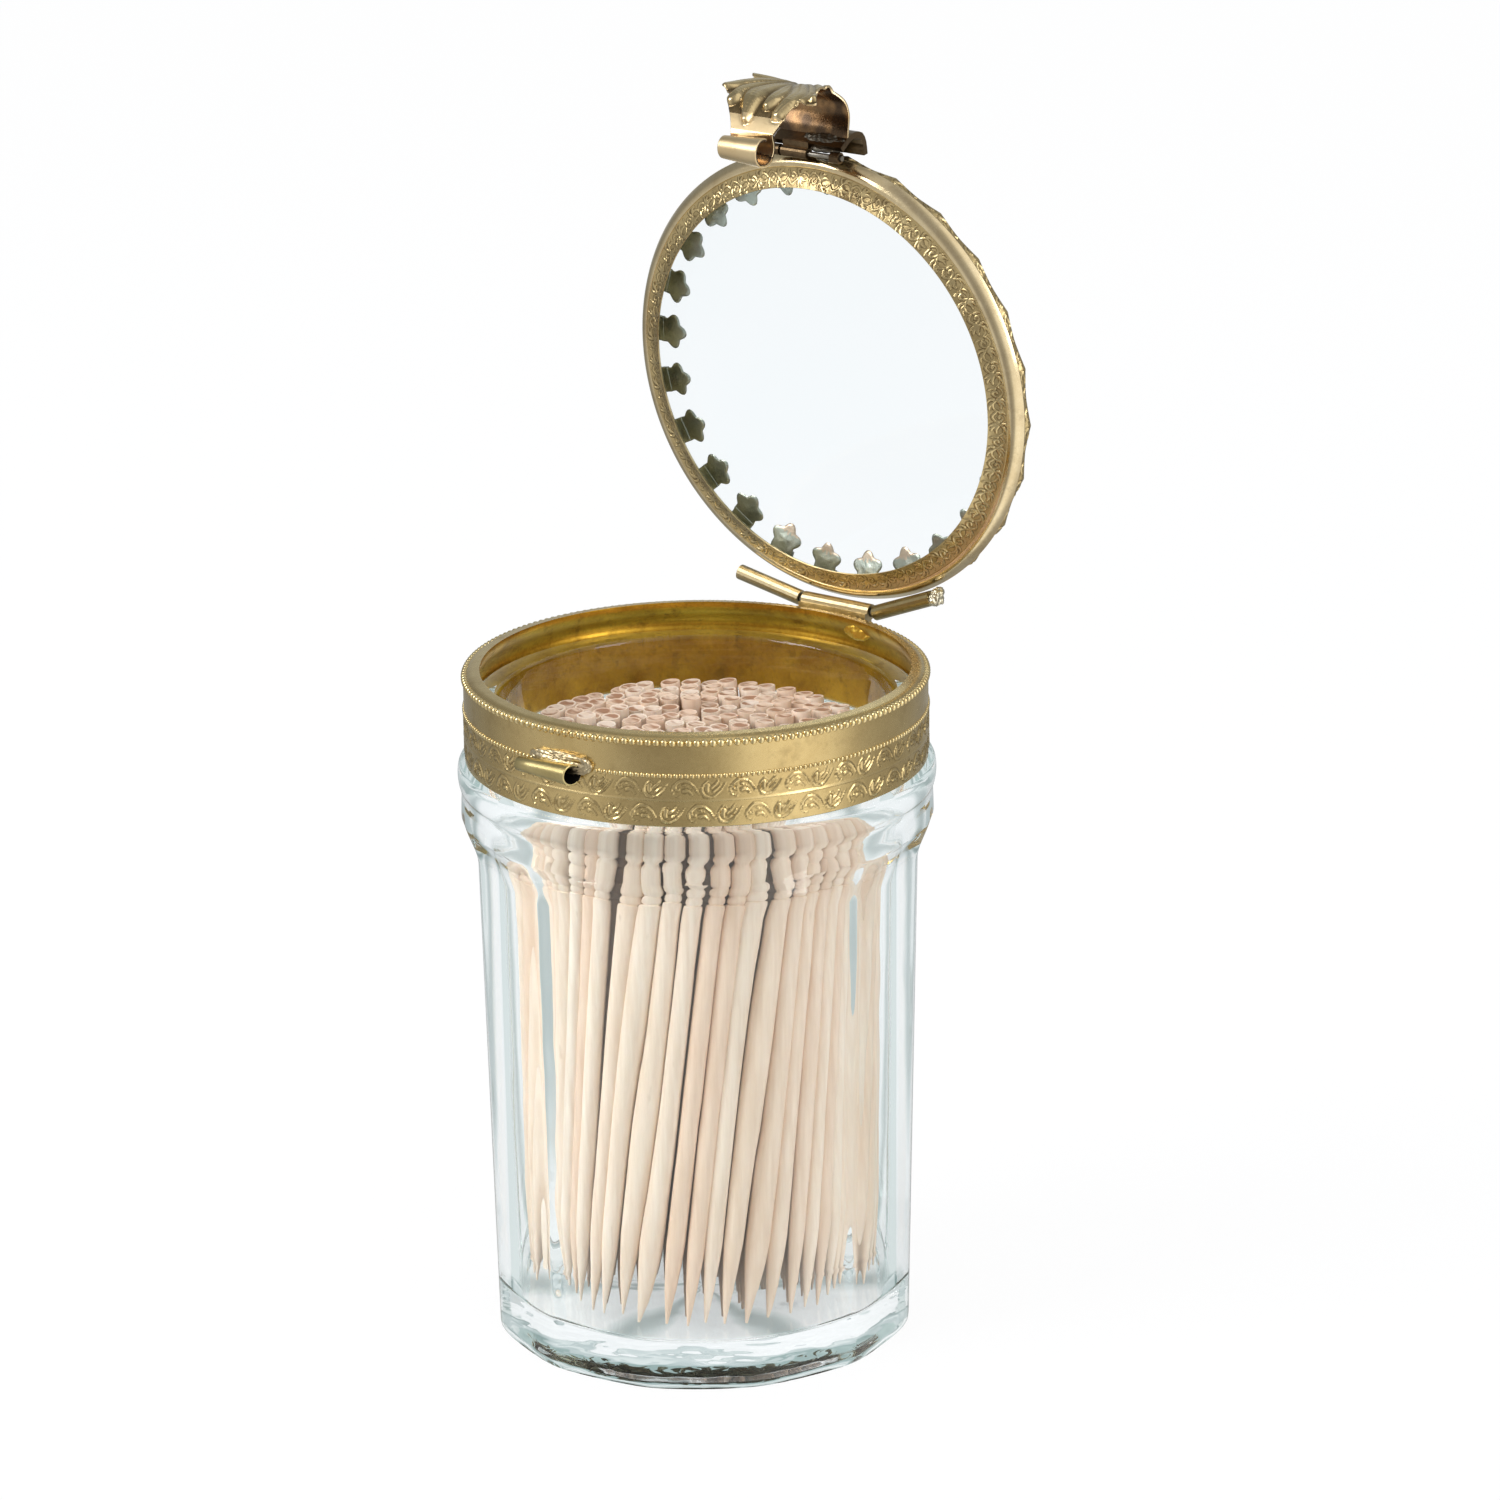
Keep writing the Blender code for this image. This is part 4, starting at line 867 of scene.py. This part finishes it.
def galleryProfile():
    flat, top, inside = gallery["flat"], gallery["top"], gallery["flat"] - gallery["sheet"]
    side = [(inside, gallery["low"]), (flat, gallery["low"])]
    side += [(flat, height) for height in np.arange(gallery["low"] + 0.1, top - 0.2, 0.1)]
    side += [(flat - 0.03, top - 0.12), (flat - 0.12, top - 0.03), (flat - 0.25, top), (inside, top - 0.05)]
    return side


def foldGallery(piece):
    # The wall stands out at the corners between two claws
    places = vertexPlaces(piece)
    height = places[:, 2]
    radius, turn = polar(places)
    low, flat = gallery["low"], gallery["flat"]
    sector = fullTurn / gallery["claws"]
    around = turn % fullTurn + math.pi / 2 - math.radians(gallery["turn"])
    aside = (around + sector / 2) % sector - sector / 2
    peak = np.abs(aside) / (sector / 2)
    rise = toShare((height - low) / 0.7)
    proud = gallery["proud"] * (peak**1.7) * rise + 0.1 * (1 - rise)
    places[:, :2] *= ((radius + proud) / radius)[:, None]
    putVertices(piece, places)
    outside = (radius > flat - 0.05) & (height > low + 0.15) & (height < gallery["top"] - 0.2)
    lift = np.zeros(len(places))
    across = (aside[outside] + sector / 2) * flat
    lift[outside] = chasing(across, height[outside] - gallery["middle"], sideStrokes)
    pressAlongNormals(piece, lift * gallery["relief"])
    # The finish paints shade along the outline of each stroke and a highlight on its crest
    keepOnPoints(piece, "relief", lift)


def starClaw(name, turn, tilt, size):
    # A flattened ball is pressed into five lobes
    startFresh()
    bpy.ops.mesh.primitive_uv_sphere_add(segments=40, ring_count=10, radius=mm)
    piece = nameIt(name)
    places = vertexPlaces(piece)
    reach, angle = polar(places)
    swell = (1 - np.cos(5 * angle)) / 2
    outline = claw["radius"] * size * (claw["waist"] + (1 - claw["waist"]) * swell**0.8)
    flatShare = np.sqrt(toShare(1 - reach**5))
    places[:, 2] = np.sign(places[:, 2]) * claw["thickness"] / 2 * flatShare
    # The lobes bend down from the middle
    places[:, 2] += 0.12 * np.sin(math.pi * toShare(reach)) - 0.06
    places[:, :2] *= outline[:, None]
    putVertices(piece, places)
    place = shift(claw["middle"], 0, claw["low"] + claw["thickness"] / 2)
    piece.matrix_world = spin(turn) @ place @ spin(tilt, "Y")
    return applyPlace(piece)


def clawNeck(name, turn):
    startFresh()
    bpy.ops.mesh.primitive_cube_add(size=mm)
    piece = nameIt(name)
    piece.scale = (claw["neckWidth"], claw["neck"], claw["thickness"])
    applyPlace(piece)
    startEditing()
    bpy.ops.mesh.subdivide(number_cuts=3)
    stopEditing()
    places = vertexPlaces(piece)
    # It bends down into the gallery wall
    outward = toShare((places[:, 0] + 0.1) / 0.85)
    places[:, 2] -= 0.55 * outward**2
    putVertices(piece, places)
    change = piece.modifiers.new("softEdges", "BEVEL")
    change.width = 0.07 * mm
    change.segments = 2
    bpy.ops.object.modifier_apply(modifier=change.name)
    piece.matrix_world = spin(turn) @ shift(*claw["neckPlace"])
    return applyPlace(piece)


def isRidge(radius, height, normal, middle):
    return radius > ring["face"] + 0.07 and height < 1.22 and normal.z < 0.5


lidRing = turnOnLathe("lidRing", ringProfile(), ring["steps"], closed=True)
engraveRing(lidRing)
dress(lidRing, "ringBrass", "lid", "ring_brass", "lid_ring")
paintFaces(lidRing, "ridgeBrass", isRidge)
smoothBelow(openWithLid(lidRing), 40)
galleryWall = turnOnLathe("galleryWall", galleryProfile(), gallery["steps"], closed=True)
foldGallery(galleryWall)
dress(smoothBelow(openWithLid(galleryWall), 40), "ringBrass", "lid", "gallery_brass")
claws = []
for place in range(gallery["claws"]):
    turn = math.radians(gallery["turn"]) - math.pi / 2 + fullTurn * place / gallery["claws"]
    tilt = claw["bent"].get(place, rng.normal() * 0.04)
    pair = starClaw("claw", turn, tilt, 1 + rng.normal() * 0.03), clawNeck("neck", turn)
    for piece in pair:
        for finish in ("clawBrass", "bentBrass"):
            piece.data.materials.append(finishes[finish])
    if place in claw["bent"]:
        # The bent ones by the hinge are rubbed bright at their tips
        tip = (claw["middle"] - 0.9) * mm
        for face in pair[0].data.polygons:
            face.material_index = math.hypot(face.center.x, face.center.y) < tip
    claws += pair
lidClaws = openWithLid(joinAll(claws, "lidClaws"))
smoothBelow(lidClaws, 50)
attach(lidClaws, "lid")
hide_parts("lid_gallery")


def dressNode(name, finish):
    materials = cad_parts[name].data.materials
    materials.clear()
    materials.append(finishes[finish])


for name, finish in dict(
    lid_glass="lidGlass", hinge_knuckle_collar="hingeBrass", hinge_knuckle_left="hingeBrass",
    hinge_knuckle_right="oliveBrass", hinge_pin="pinSteel",
).items():
    dressNode(name, finish)
# The pin's right end is burred over, where the bent tube ends
burrSizes = dict(bendAside=5.35, tube=9.3, bend=math.radians(-22), size=(0.75, 0.98, 0.98))
burr = lumpOfSolder("hingePinBurr", (0, 0, 0), burrSizes["size"], 0.12, 5)
bend = burrSizes["bend"]
across = burrSizes["bendAside"] + burrSizes["tube"] * math.cos(bend)
burr.matrix_world = lidTurn @ shift(across, burrSizes["tube"] * math.sin(bend), 0) @ spin(bend)
dress(applyPlace(burr), "brightSolder", "lid", "hinge_brass")
print("the lid is folded up")


# The hasp: a chased leaf that is rolled at its tip, and a foot that turns on the pin

# Middle line and both half widths of the leaf: out from the lid, up from its face, to the left, to the right
leafRows = [
    (1.75, 1.85, 4.7, 4.7), (2.6, 2.0, 4.7, 4.7), (4.3, 2.75, 4.8, 4.4), (5.9, 2.62, 5.2, 4.0),
    (7.2, 1.6, 6.4, 3.2), (7.85, 0.5, 7.2, 3.1), (8.05, -0.6, 6.2, 3.3), (8.2, -1.7, 5.9, 3.6),
    (8.28, -2.8, 6.3, 4.0), (8.3, -3.9, 7.0, 4.8), (8.28, -5.0, 7.4, 5.7), (8.18, -5.7, 6.0, 5.8),
    (7.95, -6.45, 5.4, 4.2), (7.3, -7.5, 4.8, 3.6), (6.3, -8.7, 3.7, 3.2), (5.3, -9.75, 2.9, 2.8),
]
leaf = dict(
    sheet=0.36, relief=0.62, across=72, rollOut=3.85, rollUp=-11.3, rollStart=1.6, rollEnd=0.9,
    rollWidth=2.75, rollReach=2.05, flare=0.17, lobesEnd=17.3, polish=15.6, below=0.86,
)
# Lobes of the leaf: half widths at root, middle and tip, then the three places (across, along from the foot).
# A later one lies over an earlier one
leafLobes = [
    (0.7, 1.3, 0.7, (-1.6, 5.0), (-4.6, 5.6), (-7.4, 7.0)),
    (0.7, 1.2, 0.6, (1.2, 5.0), (3.2, 6.6), (3.9, 8.6)),
    (0.7, 1.5, 0.8, (-1.8, 6.2), (-4.6, 8.4), (-6.8, 11.8)),
    (0.7, 1.4, 0.8, (1.0, 6.0), (3.4, 8.8), (5.1, 11.7)),
    (0.8, 1.5, 0.9, (-1.5, 7.4), (-3.6, 10.8), (-4.5, 14.0)),
    (0.8, 1.3, 0.9, (0.6, 6.8), (3.0, 10.5), (4.0, 12.9)),
    (0.8, 1.4, 0.7, (-0.6, 7.6), (0.8, 11.6), (0.5, 14.2)),
    (0.8, 1.3, 0.9, (0.2, 7.4), (2.8, 11.8), (2.4, 15.2)),
    (0.9, 1.6, 0.5, (-1.2, 8.0), (-2.2, 12.2), (-1.4, 16.4)),
]


def lobeHeights(side, along):
    # 0 between the lobes, 1 on the back of a lobe near its tip
    height = np.zeros(side.shape)
    for root, middle, tip, *points in leafLobes:
        path = smoothPath(points, 10)
        spot = np.linspace(0, 1, len(path))
        widths = np.interp(spot, [0, 0.55, 1], [root, middle, tip])
        nearest = np.full(side.shape, 9.0)
        share = np.zeros(side.shape)
        for place, width, reach in zip(path, widths, spot):
            gap = np.hypot(side - place[0], along - place[1]) / width
            share = np.where(gap < nearest, reach, share)
            nearest = np.minimum(nearest, gap)
        rounded = toShare(1 - nearest**2.4)
        vein = 0.18 * toShare(1 - nearest / 0.25)
        raised = (0.25 + 0.75 * share**0.8) * rounded - vein * rounded
        # The lobe under it is pressed down along its edge
        pressed = height - 0.3 * np.clip(1.35 - nearest, 0, 0.35)
        height = np.where(nearest < 1, np.maximum(raised, height * 0.3), pressed)
    return height


def bentSheet(name, rows, across):
    # A grid is laid along a line of (out, up, left, right)
    startFresh()
    bpy.ops.mesh.primitive_grid_add(x_subdivisions=across, y_subdivisions=len(rows) - 1, size=2 * mm)
    piece = nameIt(name)
    flat = vertexPlaces(piece)
    row = np.rint((flat[:, 1] + 1) / 2 * (len(rows) - 1)).astype(int)
    aside = flat[:, 0]
    out, up, left, right = rows[row].T
    side = np.where(aside < 0, aside * left, aside * right)
    putVertices(piece, np.stack([side, -out, up], 1))
    return piece, side, row


def leafLine():
    rows = smoothPath(leafRows, 9)
    roll = []
    for share in np.linspace(0, 1, 40):
        angle = math.radians(30 - 330 * share)
        radius = leaf["rollStart"] + (leaf["rollEnd"] - leaf["rollStart"]) * share
        out, up = leaf["rollOut"] + radius * math.sin(angle), leaf["rollUp"] + radius * math.cos(angle)
        roll.append((out, up, leaf["rollWidth"], leaf["rollWidth"]))
    return np.vstack([rows, roll]), len(rows)


def chaseLeaf():
    rows, rollFrom = leafLine()
    piece, side, row = bentSheet("haspLeaf", rows, leaf["across"])
    steps = np.hypot(*np.diff(rows[:, :2], axis=0).T)
    along = np.concatenate([[0], np.cumsum(steps)])[row] - leaf["below"]
    edge = np.abs(side) / np.where(side < 0, rows[row, 2], rows[row, 3])
    lift = np.where(along < leaf["lobesEnd"], lobeHeights(side, along), 0)
    # The roll opens to the right
    places = vertexPlaces(piece)
    rolled = row >= rollFrom
    middle = np.array([-leaf["rollOut"], leaf["rollUp"]])
    opened = 1 + leaf["flare"] * side / leaf["rollWidth"]
    places[rolled, 1:] = middle + (places[rolled, 1:] - middle) * opened[rolled, None]
    putVertices(piece, places)
    pick(piece)
    startEditing()
    bpy.ops.mesh.normals_make_consistent(inside=False)
    stopEditing()
    # The convex side faces away from the roll's middle line
    normals = readVectors(piece.data.vertex_normals, "vector")
    crest = (row > 30) & (row < 80)
    if normals[crest, 1].mean() > 0:
        piece.data.flip_normals()
    # Lobes sag at their edges
    sag = -0.5 * toShare(edge - 0.75) * toShare(1 - np.abs(along - 11) / 5)
    pressAlongNormals(piece, np.clip(lift, -0.5, 1) * leaf["relief"] + sag)
    # The finish paints a highlight on the backs of the lobes and shade on the flat sheet between them
    keepOnPoints(piece, "relief", np.clip(lift, -0.4, 1) * 1.15 - 0.42)
    # Inside: soot in patches, painted shade in a fold on the side of the hinge, and darker towards the foot
    wear = 0.35 * np.sin(side * 1.9 + along * 0.8) * np.sin(along * 1.3 - side * 0.6)
    foldShade = 0.9 * np.exp(-(((side - 3.1) / 0.65) ** 2))
    keepOnPoints(piece, "sootAndFoldShade", wear - foldShade - 0.3 * toShare(1.6 - along))
    # The smooth shield and the roll below the lobes are polished, and the inside is brown
    for finish in ("leafBrass", "leafPolish", "leafInside"):
        piece.data.materials.append(finishes[finish])
    for face in piece.data.polygons:
        if min(along[point] for point in face.vertices) > leaf["polish"]:
            face.material_index = 1
    thicken = dict(thickness=leaf["sheet"] * mm, offset=-1, material_offset=2, material_offset_rim=1)
    for kind, settings in (("SOLIDIFY", thicken), ("SUBSURF", dict(levels=1, render_levels=1))):
        change = piece.modifiers.new(kind.lower(), kind)
        for name, value in settings.items():
            setattr(change, name, value)
        bpy.ops.object.modifier_apply(modifier=change.name)
    # In the roll the sheet has turned over, so its inner side is the one that was rubbed bright
    for face in piece.data.polygons:
        away = face.center / mm - Vector((face.center.x / mm, -leaf["rollOut"], leaf["rollUp"]))
        if away.length < leaf["rollReach"] and face.center.z < (leaf["rollUp"] + 1.35) * mm:
            face.material_index = 1 if away.dot(face.normal) > 0 else 2
    return smoothBelow(openWithHasp(piece), 60)


haspLeaf = chaseLeaf()
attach(haspLeaf, "clasp")
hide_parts("clasp_leaf")
dressNode("clasp_pin", "pinSteel")
# The foot's dark brass is partly tarnish and partly painted shade under the leaf
for name in ("clasp_foot", "clasp_lug_left", "clasp_lug_right"):
    dressNode(name, "darkBrass")
# Solder on the foot and in its corner. The last one holds the pin's right end on the ring
for name, middle, size, roughness, seed, body, slot in (
    ("haspFootSolder", (1.6, -1.5, 1.5), (2.9, 0.55, 0.95), 0.1, 8, "clasp", "leaf_brass"),
    ("haspWeb", (2.3, -0.6, 0.5), (2.2, 0.34, 0.5), 0.04, 17, "clasp", "leaf_brass"),
    ("haspLugSolder", (2.9, 0.48, 0.5), (1.9, 0.3, 0.62), 0.04, 11, "lid", "ring_brass"),
):
    dress(openWithHasp(lumpOfSolder(name, middle, size, roughness, seed)), "darkSolder", body, slot)
print("the hasp is chased")


# The studio

view = dict(
    azimuth=36.648, elevation=18.328, roll=-0.668, distance=672.19, aside=5.977, aim=67.809, lens=143.59,
)


def placeCamera():
    azimuth, elevation, roll = (math.radians(view[part]) for part in ("azimuth", "elevation", "roll"))
    across = math.cos(elevation)
    back = Vector((math.sin(azimuth) * across, -math.cos(azimuth) * across, math.sin(elevation)))
    right = Vector((math.cos(azimuth), math.sin(azimuth), 0))
    up = back.cross(right)
    leaned = right * math.cos(roll) + up * math.sin(roll)
    upright = up * math.cos(roll) - right * math.sin(roll)
    target = right * view["aside"] * mm + Vector((0, 0, view["aim"] * mm))
    lens = bpy.data.cameras.new("camera")
    lens.lens = view["lens"]
    lens.sensor_width = 36
    lens.clip_start = 0.01
    camera = bpy.data.objects.new("camera", lens)
    bpy.context.scene.collection.objects.link(camera)
    facing = Matrix((leaned, upright, back)).transposed().to_4x4()
    camera.matrix_world = Matrix.Translation(target + back * view["distance"] * mm) @ facing
    bpy.context.scene.camera = camera


def lamp(name, place, target, size, power):
    light = bpy.data.lights.new(name, "AREA")
    light.shape = "RECTANGLE"
    light.size, light.size_y = size
    light.energy = power
    made = bpy.data.objects.new(name, light)
    made.location = place
    made.rotation_euler = (Vector(target) - Vector(place)).to_track_quat("-Z", "Y").to_euler()
    bpy.context.scene.collection.objects.link(made)


def makeStudioTones():
    # What the brass and the glass see of the room, by direction round the object
    outputs = [("Metal", "Color"), ("Clear", "Color")]
    group, start, end = newGroup("studioTones", [("Direction", "Vector", (0, 0, 0))], outputs)
    azimuth = math.radians(view["azimuth"])
    front, side = (math.sin(azimuth), -math.cos(azimuth), 0), (math.cos(azimuth), math.sin(azimuth), 0)
    shares = []
    for axis in (side, front):
        links = {0: start.outputs["Direction"], 1: axis}
        shares.append(addNode(group, "VectorMath", links, operation="DOT_PRODUCT").outputs["Value"])
    turn = mathNode(group, "ARCTAN2", *shares)
    # Degrees to the right of the photograph's side, and the tone there
    metalTones = [
        (-180, (0.5, 0.53, 0.54)), (-150, (0.27, 0.28, 0.28)), (-112, (0.3, 0.3, 0.29)), (-90, (0.48, 0.47, 0.45)),
        (-52, (0.66, 0.65, 0.62)), (-30, (0.36, 0.35, 0.34)), (-8, (0.36, 0.35, 0.33)), (12, (0.52, 0.51, 0.48)),
        (26, (1.05, 1.03, 0.98)), (48, (1.18, 1.16, 1.12)), (64, (1.05, 1.03, 0.98)), (84, (0.44, 0.43, 0.41)),
        (118, (0.36, 0.36, 0.35)), (150, (0.34, 0.35, 0.35)), (180, (0.5, 0.53, 0.54)),
    ]
    tones = [(angle / 360 + 0.5, tone) for angle, tone in metalTones]
    strips = times(group, mathNode(group, "COSINE", times(group, turn, 6.0)), 0.5, 0.5)
    clearTones = [(0, (0.46, 0.53, 0.53)), (0.12, (0.68, 0.75, 0.75)), (0.34, (0.93, 0.955, 0.965))]
    metal = rampNode(group, times(group, turn, 1 / fullTurn, 0.5), tones)
    feed(group, end, {"Metal": metal, "Clear": rampNode(group, strips, clearTones)})
    return group


def lightWorld(tones):
    world = bpy.data.worlds.new("studioWorld")
    bpy.context.scene.world = world
    world.use_nodes = True
    tree = world.node_tree
    shown = tree.nodes["Background"]
    feed(tree, shown, {"Color": (1, 1, 1, 1)})
    path = addNode(tree, "LightPath")
    direction = addNode(tree, "TexCoord").outputs["Generated"]
    group = addNode(tree, "Group", {"Direction": direction}, node_tree=tones)
    height = addNode(tree, "SeparateXYZ", {0: direction}).outputs["Z"]
    # Darker bands of the room between the lamps, by height
    bands = [
        (0.1, 1), (0.24, (0.78, 0.82, 0.83)), (0.42, (0.66, 0.71, 0.72)), (0.55, 0.97),
        (0.7, (0.66, 0.7, 0.71)), (0.85, 0.95),
    ]
    seen = mixColour(tree, 1.0, group.outputs["Clear"], rampNode(tree, height, bands), "MULTIPLY")
    metal = addNode(tree, "Background", {"Color": group.outputs["Metal"]})
    clear = addNode(tree, "Background", {"Color": seen})
    even = addNode(tree, "Background", {"Color": (0.95, 0.97, 1, 1), "Strength": 0.9})
    throughGlass = mathNode(tree, "MAXIMUM", path.outputs["Is Transmission Ray"], trappedLight(tree, path))
    lit = mixShaders(tree, path.outputs["Is Glossy Ray"], even, metal)
    lit = mixShaders(tree, throughGlass, lit, clear)
    last = mixShaders(tree, path.outputs["Is Camera Ray"], lit, shown)
    feed(tree, tree.nodes["World Output"], {"Surface": last.outputs[0]})


def layFloor(tones):
    # The camera sees it nearly white, and the brass and the glass see the room's tones in it
    startFresh()
    bpy.ops.mesh.primitive_plane_add(size=6, location=(0, 0, -0.1 * mm))
    floor = nameIt("studioFloor")
    finish, tree, shader = newFinish("paleFloor")
    path = addNode(tree, "LightPath")
    group = addNode(tree, "Group", {"Direction": objectPlace(tree)}, node_tree=tones)
    glossy, camera, bent = (path.outputs[f"Is {kind} Ray"] for kind in ("Glossy", "Camera", "Transmission"))
    colour = mixColour(tree, glossy, (0.96, 0.96, 0.97, 1), group.outputs["Metal"])
    throughGlass = mathNode(tree, "MAXIMUM", bent, trappedLight(tree, path))
    colour = mixColour(tree, throughGlass, colour, group.outputs["Clear"])
    feed(tree, shader, {"Base Color": colour, "Roughness": 0.9})
    glow = addNode(tree, "Emission", {"Color": mixColour(tree, camera, colour, (1, 1, 1, 1))})
    share = times(tree, camera, 0.93, times(tree, bent, -0.15, times(tree, glossy, 0.8)))
    mixed = mixShaders(tree, share, shader, glow)
    feed(tree, tree.nodes["Material Output"], {"Surface": mixed.outputs[0]})
    floor.data.materials.append(finish)
    floor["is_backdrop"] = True


placeCamera()
studioTones = makeStudioTones()
lightWorld(studioTones)
layFloor(studioTones)
lamp("softboxLeft", (-0.35, -0.55, 0.55), (0, 0, 0.06), (0.35, 0.45), 3.2)
lamp("softboxRight", (0.75, 0.0, 0.35), (0, 0, 0.08), (0.25, 0.5), 1.2)
bpy.context.scene.view_settings.view_transform = "Standard"
print("the studio is lit")
sizes = dict(cad=[list(corner) for corner in cadBox], visual=[list(corner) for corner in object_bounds()])
